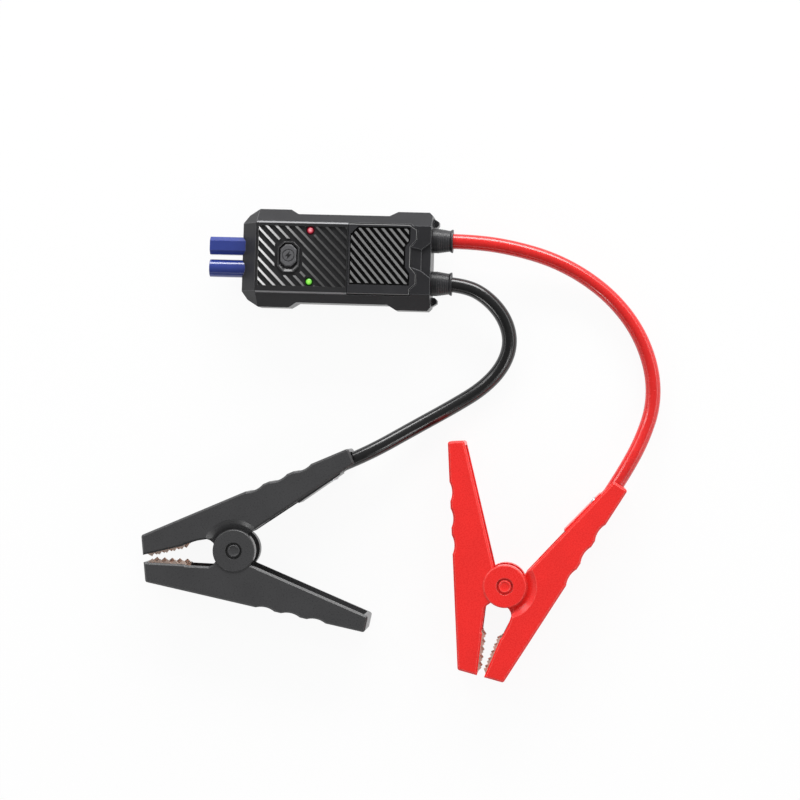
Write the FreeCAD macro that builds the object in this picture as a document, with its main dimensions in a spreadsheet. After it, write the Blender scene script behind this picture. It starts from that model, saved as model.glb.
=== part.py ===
import FreeCAD, Part
import math
import os
import re
import Sketcher

# Jumper cable clamp lead: a control module with a two-tube battery plug, two cables and two clamps.
# Millimetres. +Z up, +X along the module from the plug to the cables.
# The origin is the middle of the module's underside, and everything lies on z = 0.

# Driving sizes
SIZES = {
    # module case
    "case_left": 48.9,
    "case_right": 44.7,
    "case_height": 25.0,
    "case_split": 12.5,
    "bumper_half": 24.1,
    "bumper_proud": 2.4,
    "bumper_step": 4.0,
    "left_bumper_end": 25.3,
    "right_bumper_start": 27.5,
    "corner_long": 8.3,
    "corner_wide": 7.3,
    "end_corner": 1.7,
    "face_half": 16.6,
    "face_left": 41.0,
    "facet_low": 15.0,
    "case_wall": 2.4,
    "roof": 2.5,
    "floor": 2.2,
    "base_chamfer": 1.6,
    "nose_reach": 2.6,
    "nose_inner": 17.2,
    "nose_outer": 21.6,
    "nose_height": 9.5,
    "bay_depth": 1.2,
    "bay_length": 4.6,
    "bay_half": 5.2,
    "bay_flare": 4.2,
    "step_depth": 0.7,
    # panels inlaid in the top
    "panel_thick": 1.4,
    "panel_gap": 0.25,
    "panel_bevel": 0.8,
    "left_panel_end": 4.1,
    "left_panel_rim": 1.0,
    "panel_top_rim": 1.3,
    "panel_low_rim": 2.6,
    "left_field_depth": 0.8,
    "left_rib_wide": 1.1,
    "left_rib_pitch": 4.88,
    "left_rib_angle": 45.2,
    "left_rib_start": 3.2,
    "right_panel_end": 37.8,
    "right_notch": 3.0,
    "right_notch_half": 4.8,
    "right_tooth_inner": 8.2,
    "right_tooth_outer": 13.2,
    "notch_y": 1.6,
    "notch_drop": 2.3,
    "right_rim": 3.2,
    "right_bevel": 0.5,
    "right_field_start": 5.2,
    "right_field_cut": 3.9,
    "right_top_rim": 0.7,
    "right_low_rim": 4.1,
    "right_field_depth": 1.0,
    "right_rib_wide": 1.2,
    "right_rib_pitch": 3.76,
    "right_rib_angle": 49.0,
    "right_rib_start": 2.7,
    "right_rib_margin": 0.8,
    "rib_drop": 0.15,
    # button and lamps
    "button_x": -24.8,
    "button_y": 0.8,
    "button_wide": 7.8,
    "button_long": 10.6,
    "button_cut": 2.4,
    "button_gap": 0.7,
    "button_proud": 0.3,
    "button_travel": 0.8,
    "button_flange": 1.7,
    "button_flange_thick": 0.9,
    "button_stem_radius": 2.0,
    "bezel_clear": 1.4,
    "bezel_ring": 0.8,
    "bezel_proud": 0.3,
    "bezel_bevel": 0.3,
    "bezel_low": 0.5,
    "lip_wide": 1.3,
    "lip_drop": 0.7,
    "lip_rim": 0.5,
    "dish_radius": 3.1,
    "dish_ring": 0.5,
    "dish_depth": 0.35,
    "lamp_x": -14.45,
    "lamp_inset": 4.1,
    "lamp_radius": 2.0,
    "lamp_flange": 0.2,
    "lamp_ring": 2.6,
    "lamp_leg": 0.5,
    "lamp_leg_pitch": 2.54,
    "lamp_gap": 0.15,
    # board and what it carries
    "board_left_gap": 11.3,
    "board_right_gap": 9.8,
    "board_side_gap": 4.0,
    "board_thick": 1.6,
    "board_height": 7.0,
    "post_radius": 2.6,
    "post_left": 31.5,
    "post_right": 8.0,
    "post_inset": 2.7,
    "switch_side": 6.0,
    "switch_height": 3.6,
    "plunger_radius": 1.7,
    "plunger_top": 5.4,
    "plunger_gap": 0.1,
    "relay_x": 13.0,
    "relay_long": 20.0,
    "relay_wide": 16.0,
    "relay_roof_gap": 1.5,
    "transistor_long": 6.6,
    "transistor_wide": 5.8,
    "transistor_height": 2.3,
    "transistor_pitch": 8.2,
    "transistor_x": -2.2,
    "transistor_inset": 3.1,
    "chip_side": 7.0,
    "chip_height": 1.6,
    "buzzer_radius": 4.6,
    "buzzer_height": 6.0,
    "buzzer_x": -3.5,
    "buzzer_port": 0.9,
    "capacitor_radius": 3.1,
    "capacitor_roof_gap": 2.9,
    "capacitor_x": 14.0,
    "capacitor_pitch": 6.5,
    "capacitor_inset": 3.3,
    # screws
    "case_screw_x_left": 39.5,
    "case_screw_x_right": 36.0,
    "case_screw_inset": 6.3,
    "case_screw_radius": 1.3,
    "case_screw_head": 2.5,
    "case_screw_head_thick": 1.8,
    "case_screw_end_gap": 8.7,
    "boss_radius": 3.0,
    "boss_cap": 1.7,
    "board_screw_radius": 1.0,
    "board_screw_head": 2.2,
    "board_screw_head_thick": 1.5,
    "board_screw_long": 5.0,
    "screw_gap": 0.1,
    # battery plug
    "tube_pitch": 11.0,
    "tube_radius": 4.35,
    "tube_reach": 16.3,
    "contact_radius": 3.0,
    "contact_bore": 2.5,
    "contact_bore_deep": 12.5,
    "contact_recess": 2.0,
    "contact_back": 34.0,
    "plug_half": 10.4,
    "plug_tall": 9.6,
    "plug_back": 36.0,
    "plug_wall_gap": 0.15,
    "plug_gap": 0.15,
    "busbar_wide": 4.0,
    "busbar_thick": 1.0,
    "busbar_y": 7.2,
    # cables and strain reliefs
    "cable_radius": 3.7,
    "gland_pitch": 21.0,
    "gland_flange": 7.2,
    "gland_flange_thick": 1.7,
    "gland_neck": 5.4,
    "gland_shoulder": 6.0,
    "gland_waist": 5.1,
    "gland_rim": 5.7,
    "gland_long": 10.0,
    "gland_rim_long": 1.6,
    "gland_shoulder_long": 2.4,
    "gland_gap": 0.1,
    "cable_inside_gland": 4.0,
    "lug_end": 36.5,
    "case_lug_radius": 3.6,
    "case_lug_long": 6.0,
    "case_lug_tongue": 6.5,
    "case_lug_wide": 7.0,
    "case_lug_thick": 1.2,
    # clamp arms, in the clamp's own frame: pin at the origin, jaws to -X, handles to +X
    "clamp_thick": 22.0,
    "disc_proud": 0.5,
    "cheek": 2.2,
    "back_wall": 2.0,
    "end_wall": 2.2,
    "tip_wall": 1.2,
    "arm_bevel": 0.9,
    "arm_corner": 1.3,
    "jaw_reach": 45.2,
    "mouth_half": 1.8,
    "tip_height": 9.7,
    "outer_angle": 17.6,
    "outer_long": 110.9,
    "inner_angle": 28.3,
    "end_width": 8.0,
    "jaw_angle": 7.9,
    "throat_gap": 2.8,
    "throat_long": 4.5,
    "throat_y": 6.8,
    "throat_step": 6.6,
    "scallop_start": 56.1,
    "scallop_pitch": 12.85,
    "scallop_wide": 9.4,
    "scallop_deep": 1.1,
    "disc_radius": 10.4,
    "ear_thick": 2.5,
    "ear_gap": 0.3,
    "cone_radius": 15.5,
    "cone_gap": 0.5,
    "boss_reach": 17.0,
    "pin_radius": 2.4,
    "pin_gap": 0.05,
    "cap_radius": 3.2,
    "cap_thick": 1.1,
    "cap_grip": 0.6,
    "recess_radius": 4.1,
    "recess_deep": 1.5,
    # torsion spring
    "wire_radius": 0.8,
    "coil_radius": 5.2,
    "coil_height": 8.4,
    "coil_turns": 3.0,
    "leg_angle": 50.0,
    "leg_gap": 0.3,
    # copper jaws
    "copper": 1.1,
    "jaw_side_gap": 2.2,
    "jaw_tip_gap": 0.3,
    "jaw_end_gap": 0.4,
    "tooth_height": 1.7,
    "web_depth": 5.5,
    "tail_long": 8.0,
    "tail_half": 3.5,
    "post_half": 3.0,
    "post_long": 5.0,
    "rivet_front": 5.0,
    "rivet_back": 4.5,
    "tail_rivet": 3.2,
    "rivet_radius": 1.4,
    "rivet_head": 2.6,
    "rivet_head_thick": 0.9,
    "rivet_deep": 3.2,
    "rivet_gap": 0.05,
    # lug, saddle and screws in the cable arm
    "lug_inset": 27.0,
    "lug_long": 10.0,
    "strap_thick": 1.2,
    "strap_half": 2.8,
    "strap_rise": 8.0,
    "cable_gap": 0.1,
    "saddle_start": 33.0,
    "saddle_end": 8.5,
    "saddle_proud": 1.1,
    "saddle_drop": 0.45,
    "saddle_side_gap": 0.2,
    "saddle_screw_inset": 13.5,
    "saddle_seat": 0.5,
    "saddle_screw_z": 6.3,
    "saddle_screw_radius": 1.25,
    "saddle_screw_head": 1.7,
    "saddle_screw_head_thick": 1.0,
    "cable_inside_arm": 3.0,
    # where the clamps lie
    "black_pin_x": -47.7,
    "black_pin_y": -144.3,
    "black_turn": 6.9,
    "red_pin_x": 85.3,
    "red_pin_y": -156.7,
    "red_turn": 76.6,
}

# Counts
TEETH = 5
SCALLOPS = 3
LEFT_RIBS = 19
RIGHT_RIBS = 18

# Sizes that follow from the driving ones
DERIVED = {
    "waist_half": "bumper_half - bumper_proud",
    "case_screw_y": "bumper_half - case_screw_inset",
    "case_screw_depth": "case_height - case_screw_end_gap",
    "boss_top": "case_screw_depth + boss_cap",
    "board_left": "case_left - case_wall - board_left_gap",
    "board_right": "case_right - case_wall - board_right_gap",
    "board_half": "waist_half - case_wall - board_side_gap",
    "board_top": "board_height + board_thick",
    "post_y": "board_half - post_inset",
    "relay_height": "case_height - roof - relay_roof_gap - board_top",
    "transistor_y": "board_half - transistor_inset",
    "capacitor_height": "case_height - roof - capacitor_roof_gap - board_top",
    "capacitor_y": "board_half - capacitor_inset",
    "lamp_y": "face_half - lamp_inset",
    "throat_x": "disc_radius + throat_gap",
    "jaw_edge": "(jaw_reach - throat_x - throat_long - throat_step) / cos(jaw_angle)",
    "jaw_start": "(tip_wall + jaw_tip_gap) / cos(jaw_angle)",
    "jaw_long": "jaw_edge - jaw_start - jaw_end_gap",
    "tooth_pitch": f"jaw_long / {TEETH}",
    "jaw_end": "jaw_start + jaw_long",
    "strap_bend": "jaw_end + tail_long + strap_rise",
    "ear_outer": "clamp_thick / 2 - cheek - ear_gap",
    "ear_inner": "ear_outer - ear_thick",
    "saddle_seat_level": "end_width + saddle_screw_inset * tan(inner_angle - outer_angle)"
                         " + saddle_proud - saddle_drop - saddle_seat",
    "relief_end": "case_right + gland_long",
    "plug_front": "-case_left - tube_reach",
    "plug_start": "-case_left + case_wall + plug_gap",
}

# Cable routes, x y z, chosen by hand. Each one starts inside its strain relief, lies down on the
# surface and rises to the end of its clamp arm; the last point is worked out from the arm.
RED_ROUTE = [
    (66.0, 10.5, 12.5),
    (85.0, 8.0, 11.2),
    (104.0, 3.0, 8.4),
    (121.0, -5.5, 5.6),
    (135.5, -17.0, 4.1),
    (147.0, -32.0, 3.8),
    (153.9, -50.0, 3.8),
    (154.8, -67.0, 4.4),
    (150.0, -83.0, 7.2),
]
BLACK_ROUTE = [
    (62.5, -10.5, 12.5),
    (73.5, -16.0, 11.6),
    (81.5, -26.0, 9.4),
    (84.3, -38.5, 7.0),
    (80.8, -51.2, 5.0),
    (71.5, -62.0, 3.9),
    (57.0, -71.0, 3.8),
    (37.0, -82.0, 6.4),
]

doc = FreeCAD.newDocument("clamp_lead")
sheet = doc.addObject("Spreadsheet::Sheet", "Sizes")
for row, (name, size) in enumerate(SIZES.items(), start=1):
    sheet.set(f"A{row}", name)
    sheet.set(f"B{row}", str(size))
    sheet.setAlias(f"B{row}", name)
doc.recompute()

V = FreeCAD.Vector
UP = V(0, 0, 1)
PLANES = {"XY": "XY_Plane", "XZ": "XZ_Plane", "YZ": "YZ_Plane"}


def spelled(text):
    """The expression with each derived size written out in driving ones."""
    def swap(match):
        return f"({spelled(DERIVED[match[0]])})" if match[0] in DERIVED else match[0]
    return re.sub(r"[a-z_]\w*", swap, str(text))


def value(text):
    return float(sheet.evalExpression(spelled(text)))


def bind(thing, path, text):
    """Ties a property to an expression, whose sizes it reads from the sheet."""
    text = re.sub(r"[a-z_]\w*", lambda m: f"Sizes.{m[0]}" if m[0] in SIZES else m[0], spelled(text))
    thing.setExpression(path, text)


def body(label):
    made = doc.addObject("PartDesign::Body", label)
    made.Label = label
    return made


def sketch(owner, name, plane="XY", level="0"):
    made = owner.newObject("Sketcher::SketchObject", f"{owner.Name}_{name}")
    for part in owner.Origin.OriginFeatures:
        if part.Role == PLANES[plane]:
            made.AttachmentSupport = [(part, "")]
    made.MapMode = "FlatFace"
    bind(made, "AttachmentOffset.Base.z", level)
    return made


def pin_point(drawing, geometry, end, x, y):
    """Ties one point of a sketch to two expressions."""
    for kind, text in (("DistanceX", x), ("DistanceY", y)):
        index = drawing.addConstraint(Sketcher.Constraint(kind, -1, 1, geometry, end, value(text)))
        bind(drawing, f"Constraints[{index}]", text)


def outline(drawing, points):
    """A closed outline. A point is (x, y), or (x, y, width, depth) for a scoop that ends there."""
    places = [V(value(p[0]), value(p[1]), 0) for p in points]
    starts, ends = [], []
    for i, point in enumerate(points):
        a, b = places[i - 1], places[i]
        if len(point) == 2:
            index = drawing.addGeometry(Part.LineSegment(a, b), False)
            starts.append((index, 1))
            ends.append((index, 2))
            continue
        wide, deep = point[2], point[3]
        across = (b - a).normalize()
        middle = (a + b) * 0.5 + V(across.y, -across.x, 0) * value(deep)
        index = drawing.addGeometry(Part.Arc(a, middle, b), False)
        forward = drawing.getPoint(index, 1).distanceToPoint(a) < 1e-6
        starts.append((index, 1 if forward else 2))
        ends.append((index, 2 if forward else 1))
        radius = f"({wide}) ^ 2 / (8 * ({deep})) + ({deep}) / 2"
        tie = drawing.addConstraint(Sketcher.Constraint("Radius", index, value(radius)))
        bind(drawing, f"Constraints[{tie}]", radius)
    for i in range(len(points)):
        drawing.addConstraint(Sketcher.Constraint("Coincident", *ends[i - 1], *starts[i]))
    for i, point in enumerate(points):
        pin_point(drawing, *ends[i], point[0], point[1])


def circle(drawing, x, y, radius):
    index = drawing.addGeometry(Part.Circle(V(value(x), value(y), 0), UP, value(radius)), False)
    tie = drawing.addConstraint(Sketcher.Constraint("Radius", index, value(radius)))
    bind(drawing, f"Constraints[{tie}]", radius)
    pin_point(drawing, index, 3, x, y)


def pad(owner, drawing, length, symmetric=False, back=False):
    made = owner.newObject("PartDesign::Pad", f"{drawing.Name}_pad")
    made.Profile = drawing
    bind(made, "Length", length)
    made.SideType = "Symmetric" if symmetric else "One side"
    made.Reversed = back
    doc.recompute()
    return made


def pocket(owner, drawing, length, symmetric=False, back=False):
    """Cuts, and stops if nothing was cut."""
    before = owner.Shape.Volume
    made = owner.newObject("PartDesign::Pocket", f"{drawing.Name}_pocket")
    made.Profile = drawing
    bind(made, "Length", length)
    made.SideType = "Symmetric" if symmetric else "One side"
    made.Reversed = back
    doc.recompute()
    if owner.Shape.Volume > before - 1e-6:
        raise RuntimeError(f"{made.Name} cuts nothing")
    return made


def shape_pad(owner, name, points, length, plane="XY", level="0", symmetric=False, back=False):
    drawing = sketch(owner, name, plane, level)
    outline(drawing, points)
    return pad(owner, drawing, length, symmetric, back)


def shape_pocket(owner, name, points, length, plane="XY", level="0", symmetric=False, back=False):
    drawing = sketch(owner, name, plane, level)
    outline(drawing, points)
    return pocket(owner, drawing, length, symmetric, back)


def settle(thing, place, direction):
    """Turns a primitive so that its own Z runs along direction, at a place given by expressions."""
    base = V(*(value(text) for text in place))
    thing.Placement = FreeCAD.Placement(base, FreeCAD.Rotation(UP, direction))
    for axis, text in zip("xyz", place):
        bind(thing, f"Placement.Base.{axis}", text)


def round_feature(owner, name, radius, length, place, direction=UP, cut=False):
    kind = "SubtractiveCylinder" if cut else "AdditiveCylinder"
    made = owner.newObject(f"PartDesign::{kind}", f"{owner.Name}_{name}")
    bind(made, "Radius", radius)
    bind(made, "Height", length)
    settle(made, place, direction)
    doc.recompute()
    return made


def box_feature(owner, name, size, corner, cut=False):
    kind = "SubtractiveBox" if cut else "AdditiveBox"
    made = owner.newObject(f"PartDesign::{kind}", f"{owner.Name}_{name}")
    for side, text in zip(("Length", "Width", "Height"), size):
        bind(made, side, text)
    settle(made, corner, UP)
    doc.recompute()
    return made


def cone_feature(owner, name, radius_1, radius_2, length, place, direction=UP):
    made = owner.newObject("PartDesign::SubtractiveCone", f"{owner.Name}_{name}")
    bind(made, "Radius1", radius_1)
    bind(made, "Radius2", radius_2)
    bind(made, "Height", length)
    settle(made, place, direction)
    doc.recompute()
    return made


def box(name, size, corner):
    made = doc.addObject("Part::Box", name)
    for side, text in zip(("Length", "Width", "Height"), size):
        bind(made, side, text)
    settle(made, corner, UP)
    return made


def rod(name, radius, length, place, direction=UP):
    made = doc.addObject("Part::Cylinder", name)
    bind(made, "Radius", radius)
    bind(made, "Height", length)
    settle(made, place, direction)
    return made


def fused(name, shapes):
    made = doc.addObject("Part::MultiFuse", name)
    made.Shapes = shapes
    made.Refine = True
    return made


def cut(name, base, tool):
    made = doc.addObject("Part::Cut", name)
    made.Base = base
    made.Tool = tool
    return made


def group(name, shapes):
    """Separate solids kept side by side under one name."""
    made = doc.addObject("Part::Compound", name)
    made.Links = shapes
    return made


nodes = {}


def keep(thing, label):
    thing.Label = label
    nodes[label] = thing
    return thing


def edges_at(feature, test):
    return [f"Edge{i}" for i, edge in enumerate(feature.Shape.Edges, 1) if test(edge)]


def faces_at(feature, test):
    return [f"Face{i}" for i, face in enumerate(feature.Shape.Faces, 1) if test(face)]


def bevel(owner, feature, names, size):
    made = owner.newObject("PartDesign::Chamfer", f"{feature.Name}_bevel")
    made.Base = (feature, names)
    bind(made, "Size", size)
    doc.recompute()
    return made


def rounded(owner, feature, names, radius):
    made = owner.newObject("PartDesign::Fillet", f"{feature.Name}_round")
    made.Base = (feature, names)
    bind(made, "Radius", radius)
    doc.recompute()
    return made


def is_flat(face, direction, height):
    """Whether a face is flat, looks along direction and lies at that height along it."""
    if not isinstance(face.Surface, Part.Plane):
        return False
    normal = face.normalAt(0, 0)
    return normal.dot(direction) > 0.999 and abs(face.CenterOfMass.dot(direction) - height) < 1e-4


def standing_at(x, y):
    """A test for the upright edge at x, y."""
    def test(edge):
        ends = [v.Point for v in edge.Vertexes]
        return len(ends) == 2 and all(math.hypot(p.x - x, p.y - y) < 1e-4 for p in ends)
    return test


# Case outline, seen from above
def case_outline():
    """The case's outline, clockwise seen from above."""
    upper = [
        ("-case_left", "bumper_half - corner_wide"),
        ("-case_left + corner_long * 0.33", "bumper_half - corner_wide * 0.45"),
        ("-case_left + corner_long", "bumper_half"),
        ("-left_bumper_end", "bumper_half"),
        ("-left_bumper_end + bumper_step", "waist_half"),
        ("right_bumper_start - bumper_step", "waist_half"),
        ("right_bumper_start", "bumper_half"),
        ("case_right - end_corner", "bumper_half"),
        ("case_right", "bumper_half - end_corner"),
    ]
    lower = [(x, f"-({y})") for x, y in reversed(upper)]
    return upper + lower


def box_outline(x1, x2, y1, y2):
    return [(x1, y1), (x1, y2), (x2, y2), (x2, y1)]


case_span = "(case_left + case_right + nose_reach)"
slope = "((case_height - facet_low) / (bumper_half - face_half))"


def facet(side):
    """The wedge cut from one long side: a sloped facet from the face's edge outwards."""
    y = [f"{side} * face_half", f"{side} * (bumper_half + 1)"]
    low = f"facet_low - {slope}"
    return [(y[0], "case_height"), (y[0], "case_height + 1"), (y[1], "case_height + 1"), (y[1], low)]


def corner_lean(side):
    """Square to the facet that cuts a left corner, which falls as both its neighbours do together."""
    drop = value("case_height - facet_low")
    return V(-drop / value("case_left - face_left"), side * drop / value("bumper_half - face_half"), 1)


def hollow_outline():
    """The room inside both covers. Its left corners are cut off, so the wall stays thick there."""
    left, right = "-case_left + case_wall", "case_right - case_wall"
    bent = f"{left} + corner_long * 0.8"
    upper = [(left, "plug_half + case_wall / 2"), (bent, "waist_half - case_wall"),
             (right, "waist_half - case_wall")]
    return upper + [(x, f"-({y})") for x, y in reversed(upper)]


def flat_tube(half):
    """The eight-sided outline of the plug's upper tube, in the YZ plane."""
    y, z, nick = "tube_pitch / 2", "case_split", f"({half}) * 0.55"
    return [
        (f"{y} - ({half})", f"{z} - {nick}"), (f"{y} - ({half})", f"{z} + {nick}"),
        (f"{y} - {nick}", f"{z} + ({half})"), (f"{y} + {nick}", f"{z} + ({half})"),
        (f"{y} + ({half})", f"{z} + {nick}"), (f"{y} + ({half})", f"{z} - {nick}"),
        (f"{y} + {nick}", f"{z} - ({half})"), (f"{y} - {nick}", f"{z} - ({half})"),
    ]


def wall_openings(owner):
    """Room in a cover for the plug's two tubes and the two strain reliefs."""
    round_feature(owner, "round_tube_hole", "tube_radius + plug_wall_gap", "case_wall + 2",
                  ("-case_left - 1", "-tube_pitch / 2", "case_split"), V(1, 0, 0), cut=True)
    shape_pocket(owner, "flat_tube_hole", flat_tube("tube_radius + plug_wall_gap"), "case_wall + 2",
                 plane="YZ", level="-case_left - 1", back=True)
    for sign, name in ((1, "red"), (-1, "black")):
        round_feature(owner, f"{name}_neck_hole", "gland_neck + gland_gap", "case_wall + 2",
                      ("case_right - case_wall - 1", f"{sign} * gland_pitch / 2", "case_split"),
                      V(1, 0, 0), cut=True)


case_screw_places = [
    (x, f"{side} * case_screw_y")
    for x in ("-case_screw_x_left", "case_screw_x_right") for side in (1, -1)
]
post_places = [
    (x, f"{side} * post_y") for x in ("-post_left", "post_right") for side in (1, -1)
]


def zigzag(end):
    """The stepped right edge of the ribbed panel, from the +Y side down."""
    root = f"{end} - right_notch"
    return [
        (root, "face_half"), (end, "notch_y + right_tooth_outer"), (end, "notch_y + right_tooth_inner"),
        (root, "notch_y + right_notch_half"), (root, "notch_y - right_notch_half"),
        (end, "notch_y - right_tooth_inner"), (end, "notch_y - right_tooth_outer"),
        (root, "-face_half + notch_drop"),
    ]


def make_bottom_cover():
    cover = body("bottom_cover")
    drawing = sketch(cover, "outline")
    outline(drawing, case_outline())
    base = pad(cover, drawing, "case_split")
    under = faces_at(base, lambda f: is_flat(f, V(0, 0, -1), 0.0))
    bevel(cover, base, under, "base_chamfer")
    for side in (1, -1):
        points = [
            ("case_right - 1", f"{side} * (bumper_half - end_corner - 0.7)"),
            ("case_right", f"{side} * (bumper_half - end_corner - 0.7)"),
            ("case_right + nose_reach", f"{side} * (nose_outer - 1.6)"),
            ("case_right + nose_reach", f"{side} * (nose_inner + 1.2)"),
            ("case_right + nose_reach - 1.2", f"{side} * nose_inner"),
            ("case_right - 1", f"{side} * nose_inner"),
        ]
        name = "nose_top" if side == 1 else "nose_low"
        shape_pad(cover, name, points, "nose_height - base_chamfer", level="base_chamfer")
    shape_pocket(cover, "hollow", hollow_outline(), "case_split - floor", level="floor", back=True)
    for i, (x, y) in enumerate(case_screw_places):
        round_feature(cover, f"boss_{i}", "boss_radius", "case_split - floor / 2", (x, y, "floor / 2"))
    for i, (x, y) in enumerate(post_places):
        round_feature(cover, f"post_{i}", "post_radius", "board_height - floor / 2", (x, y, "floor / 2"))
        round_feature(cover, f"post_hole_{i}", "board_screw_radius + screw_gap / 2",
                      "board_screw_long", (x, y, "board_height - board_screw_long + 1"), cut=True)
    for i, (x, y) in enumerate(case_screw_places):
        round_feature(cover, f"screw_hole_{i}", "case_screw_radius + screw_gap", "case_split + 1",
                      (x, y, "0"), cut=True)
        round_feature(cover, f"head_hole_{i}", "case_screw_head + screw_gap",
                      "case_screw_head_thick + 0.6", (x, y, "0"), cut=True)
    box_feature(cover, "plug_rest", ("1.6", "2 * (plug_half - 2)", "case_split - plug_tall / 2 - floor"),
                ("-plug_back - 4", "-plug_half + 2", "floor"))
    wall_openings(cover)
    return keep(cover, "bottom_cover")


def make_top_cover():
    cover = body("top_cover")
    drawing = sketch(cover, "outline", level="case_split")
    outline(drawing, case_outline())
    pad(cover, drawing, "case_height - case_split")
    for side, name in ((1, "upper"), (-1, "lower")):
        shape_pocket(cover, f"{name}_facet", facet(side), f"2 * {case_span}", plane="YZ", symmetric=True)
    end_low = "facet_low - (case_height - facet_low) / (case_left - face_left)"
    shape_pocket(cover, "left_facet", [
        ("-face_left", "case_height"), ("-face_left", "case_height + 1"),
        ("-case_left - 1", "case_height + 1"), ("-case_left - 1", end_low),
    ], "4 * bumper_half", plane="XZ", symmetric=True)
    for side, name in ((1, "upper"), (-1, "lower")):
        round_feature(cover, f"{name}_corner", "3 * corner_long", "case_height - facet_low",
                      ("-face_left", f"{side} * face_half", "case_height"), corner_lean(side), cut=True)
    shape_pocket(cover, "low_hollow", hollow_outline(), "plug_tall / 2 + plug_gap",
                 level="case_split", back=True)
    shape_pocket(cover, "high_hollow", box_outline("-face_left - 0.6", "case_right - case_wall",
                 "-face_half + 1", "face_half - 1"),
                 "case_height - roof - case_split", level="case_split", back=True)
    for i, (x, y) in enumerate(case_screw_places):
        round_feature(cover, f"boss_{i}", "boss_radius", "boss_top - case_split", (x, y, "case_split"))
        round_feature(cover, f"pilot_{i}", "case_screw_radius + screw_gap / 2",
                      "case_screw_depth - case_split + 0.5", (x, y, "case_split"), cut=True)
    shape_pocket(cover, "panel_seat", [
        ("-face_left", "-bumper_half"), ("-face_left", "bumper_half"),
        ("right_panel_end + panel_gap - right_notch", "bumper_half"),
        *zigzag("right_panel_end + panel_gap"),
        ("right_panel_end + panel_gap - right_notch", "-bumper_half"),
    ], "panel_thick", level="case_height")
    shape_pocket(cover, "end_bay", [
        ("case_right - bay_length", "-bay_half"), ("case_right - bay_length", "bay_half"),
        ("case_right + 1", "bay_half + bay_flare"), ("case_right + 1", "-bay_half - bay_flare"),
    ], "bay_depth", level="case_height")
    shape_pocket(cover, "end_step", [
        ("right_panel_end - right_notch - 0.5", "notch_y - right_notch_half"),
        ("right_panel_end - right_notch - 0.5", "notch_y + right_notch_half"),
        ("case_right - bay_length + 0.1", "bay_half + 0.1"),
        ("case_right - bay_length + 0.1", "-bay_half - 0.1"),
    ], "step_depth", level="case_height")
    hole = octagon("button_wide / 2 + button_gap", "button_long / 2 + button_gap")
    shape_pocket(cover, "button_hole", hole, "case_height", level="case_height")
    for side, name in ((1, "red"), (-1, "green")):
        round_feature(cover, f"{name}_lamp_hole", "lamp_radius + lamp_gap", "roof + 1",
                      ("lamp_x", f"button_y + {side} * lamp_y", "case_height - roof - 0.5"), cut=True)
    wall_openings(cover)
    return keep(cover, "top_cover")


def octagon(half_x, high, cut_size="button_cut", low=None):
    """An eight-sided outline about the button's centre; low is its reach towards -Y."""
    low, cut_size = low or high, f"({cut_size})"
    ends = [
        (f"({half_x}) - {cut_size}", f"{high}"), (f"{half_x}", f"({high}) - {cut_size}"),
        (f"{half_x}", f"-({low}) + {cut_size}"), (f"({half_x}) - {cut_size}", f"-({low})"),
        (f"-({half_x}) + {cut_size}", f"-({low})"), (f"-({half_x})", f"-({low}) + {cut_size}"),
        (f"-({half_x})", f"({high}) - {cut_size}"), (f"-({half_x}) + {cut_size}", f"{high}"),
    ]
    return [(f"button_x + {x}", f"button_y + {y}") for x, y in ends]


def bezel_outline(grow="0"):
    """The bezel's outer outline. It reaches further on the side of its lip."""
    beside = f"button_gap + bezel_ring + {grow}"
    low = f"button_long / 2 + button_gap + bezel_low + lip_wide + lip_rim + {grow}"
    return octagon(f"button_wide / 2 + {beside}", f"button_long / 2 + {beside}", "button_cut + 0.4", low)


def rib_field(name, count, pitch, wide, angle, deep, start, field):
    """Slanted ribs over a recessed field, trimmed to the field's outline a little past its edge."""
    ribs = []
    lean = f"({wide}) / sin({angle})"
    drop = "(2 * face_half)"
    for i in range(count):
        strip = body(f"{name}_rib_{i}")
        x = f"({start}) + {i} * ({pitch})"
        run = f"{drop} / tan({angle})"
        shape_pad(strip, "strip", [
            (f"{x}", "-face_half"), (f"{x} + {lean}", "-face_half"),
            (f"{x} + {lean} - {run}", "face_half"), (f"{x} - {run}", "face_half"),
        ], f"{deep} - rib_drop", level=f"case_height - {deep}")
        ribs.append(strip)
    every = fused(f"{name}_ribs", ribs)
    trimmed = doc.addObject("Part::Common", f"{name}_trimmed")
    trimmed.Base = every
    trimmed.Tool = field
    return trimmed


def panel_plate(name, points, long_edges, zigzag_from=None):
    """A flat plate in the seat, its long top edges bevelled to carry on from the facets."""
    plate = body(name)
    drawing = sketch(plate, "outline", level="case_height - panel_thick")
    outline(drawing, points)
    made = pad(plate, drawing, "panel_thick")
    top = value("case_height")

    def long_edge(edge):
        box = edge.BoundBox
        return abs(box.ZMin - top) < 1e-4 and abs(abs(box.YMin) - long_edges) < 1e-4 and box.YLength < 1e-4
    made = bevel(plate, made, edges_at(made, long_edge), "panel_bevel")
    if zigzag_from is not None:
        def zigzag_edge(edge):
            box = edge.BoundBox
            inside = max(abs(box.YMin), abs(box.YMax)) < value("face_half") + 1e-4
            return abs(box.ZMin - top) < 1e-4 and box.XMin > zigzag_from - 1e-4 and inside
        bevel(plate, made, edges_at(made, zigzag_edge), "right_bevel")
    return plate


def field_prism(name, points, deep, above="0"):
    """The space of a recess, from its floor to the panel's top."""
    space = body(name)
    shape_pad(space, "space", points, f"{deep} + {above}", level=f"case_height - {deep}")
    return space


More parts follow.
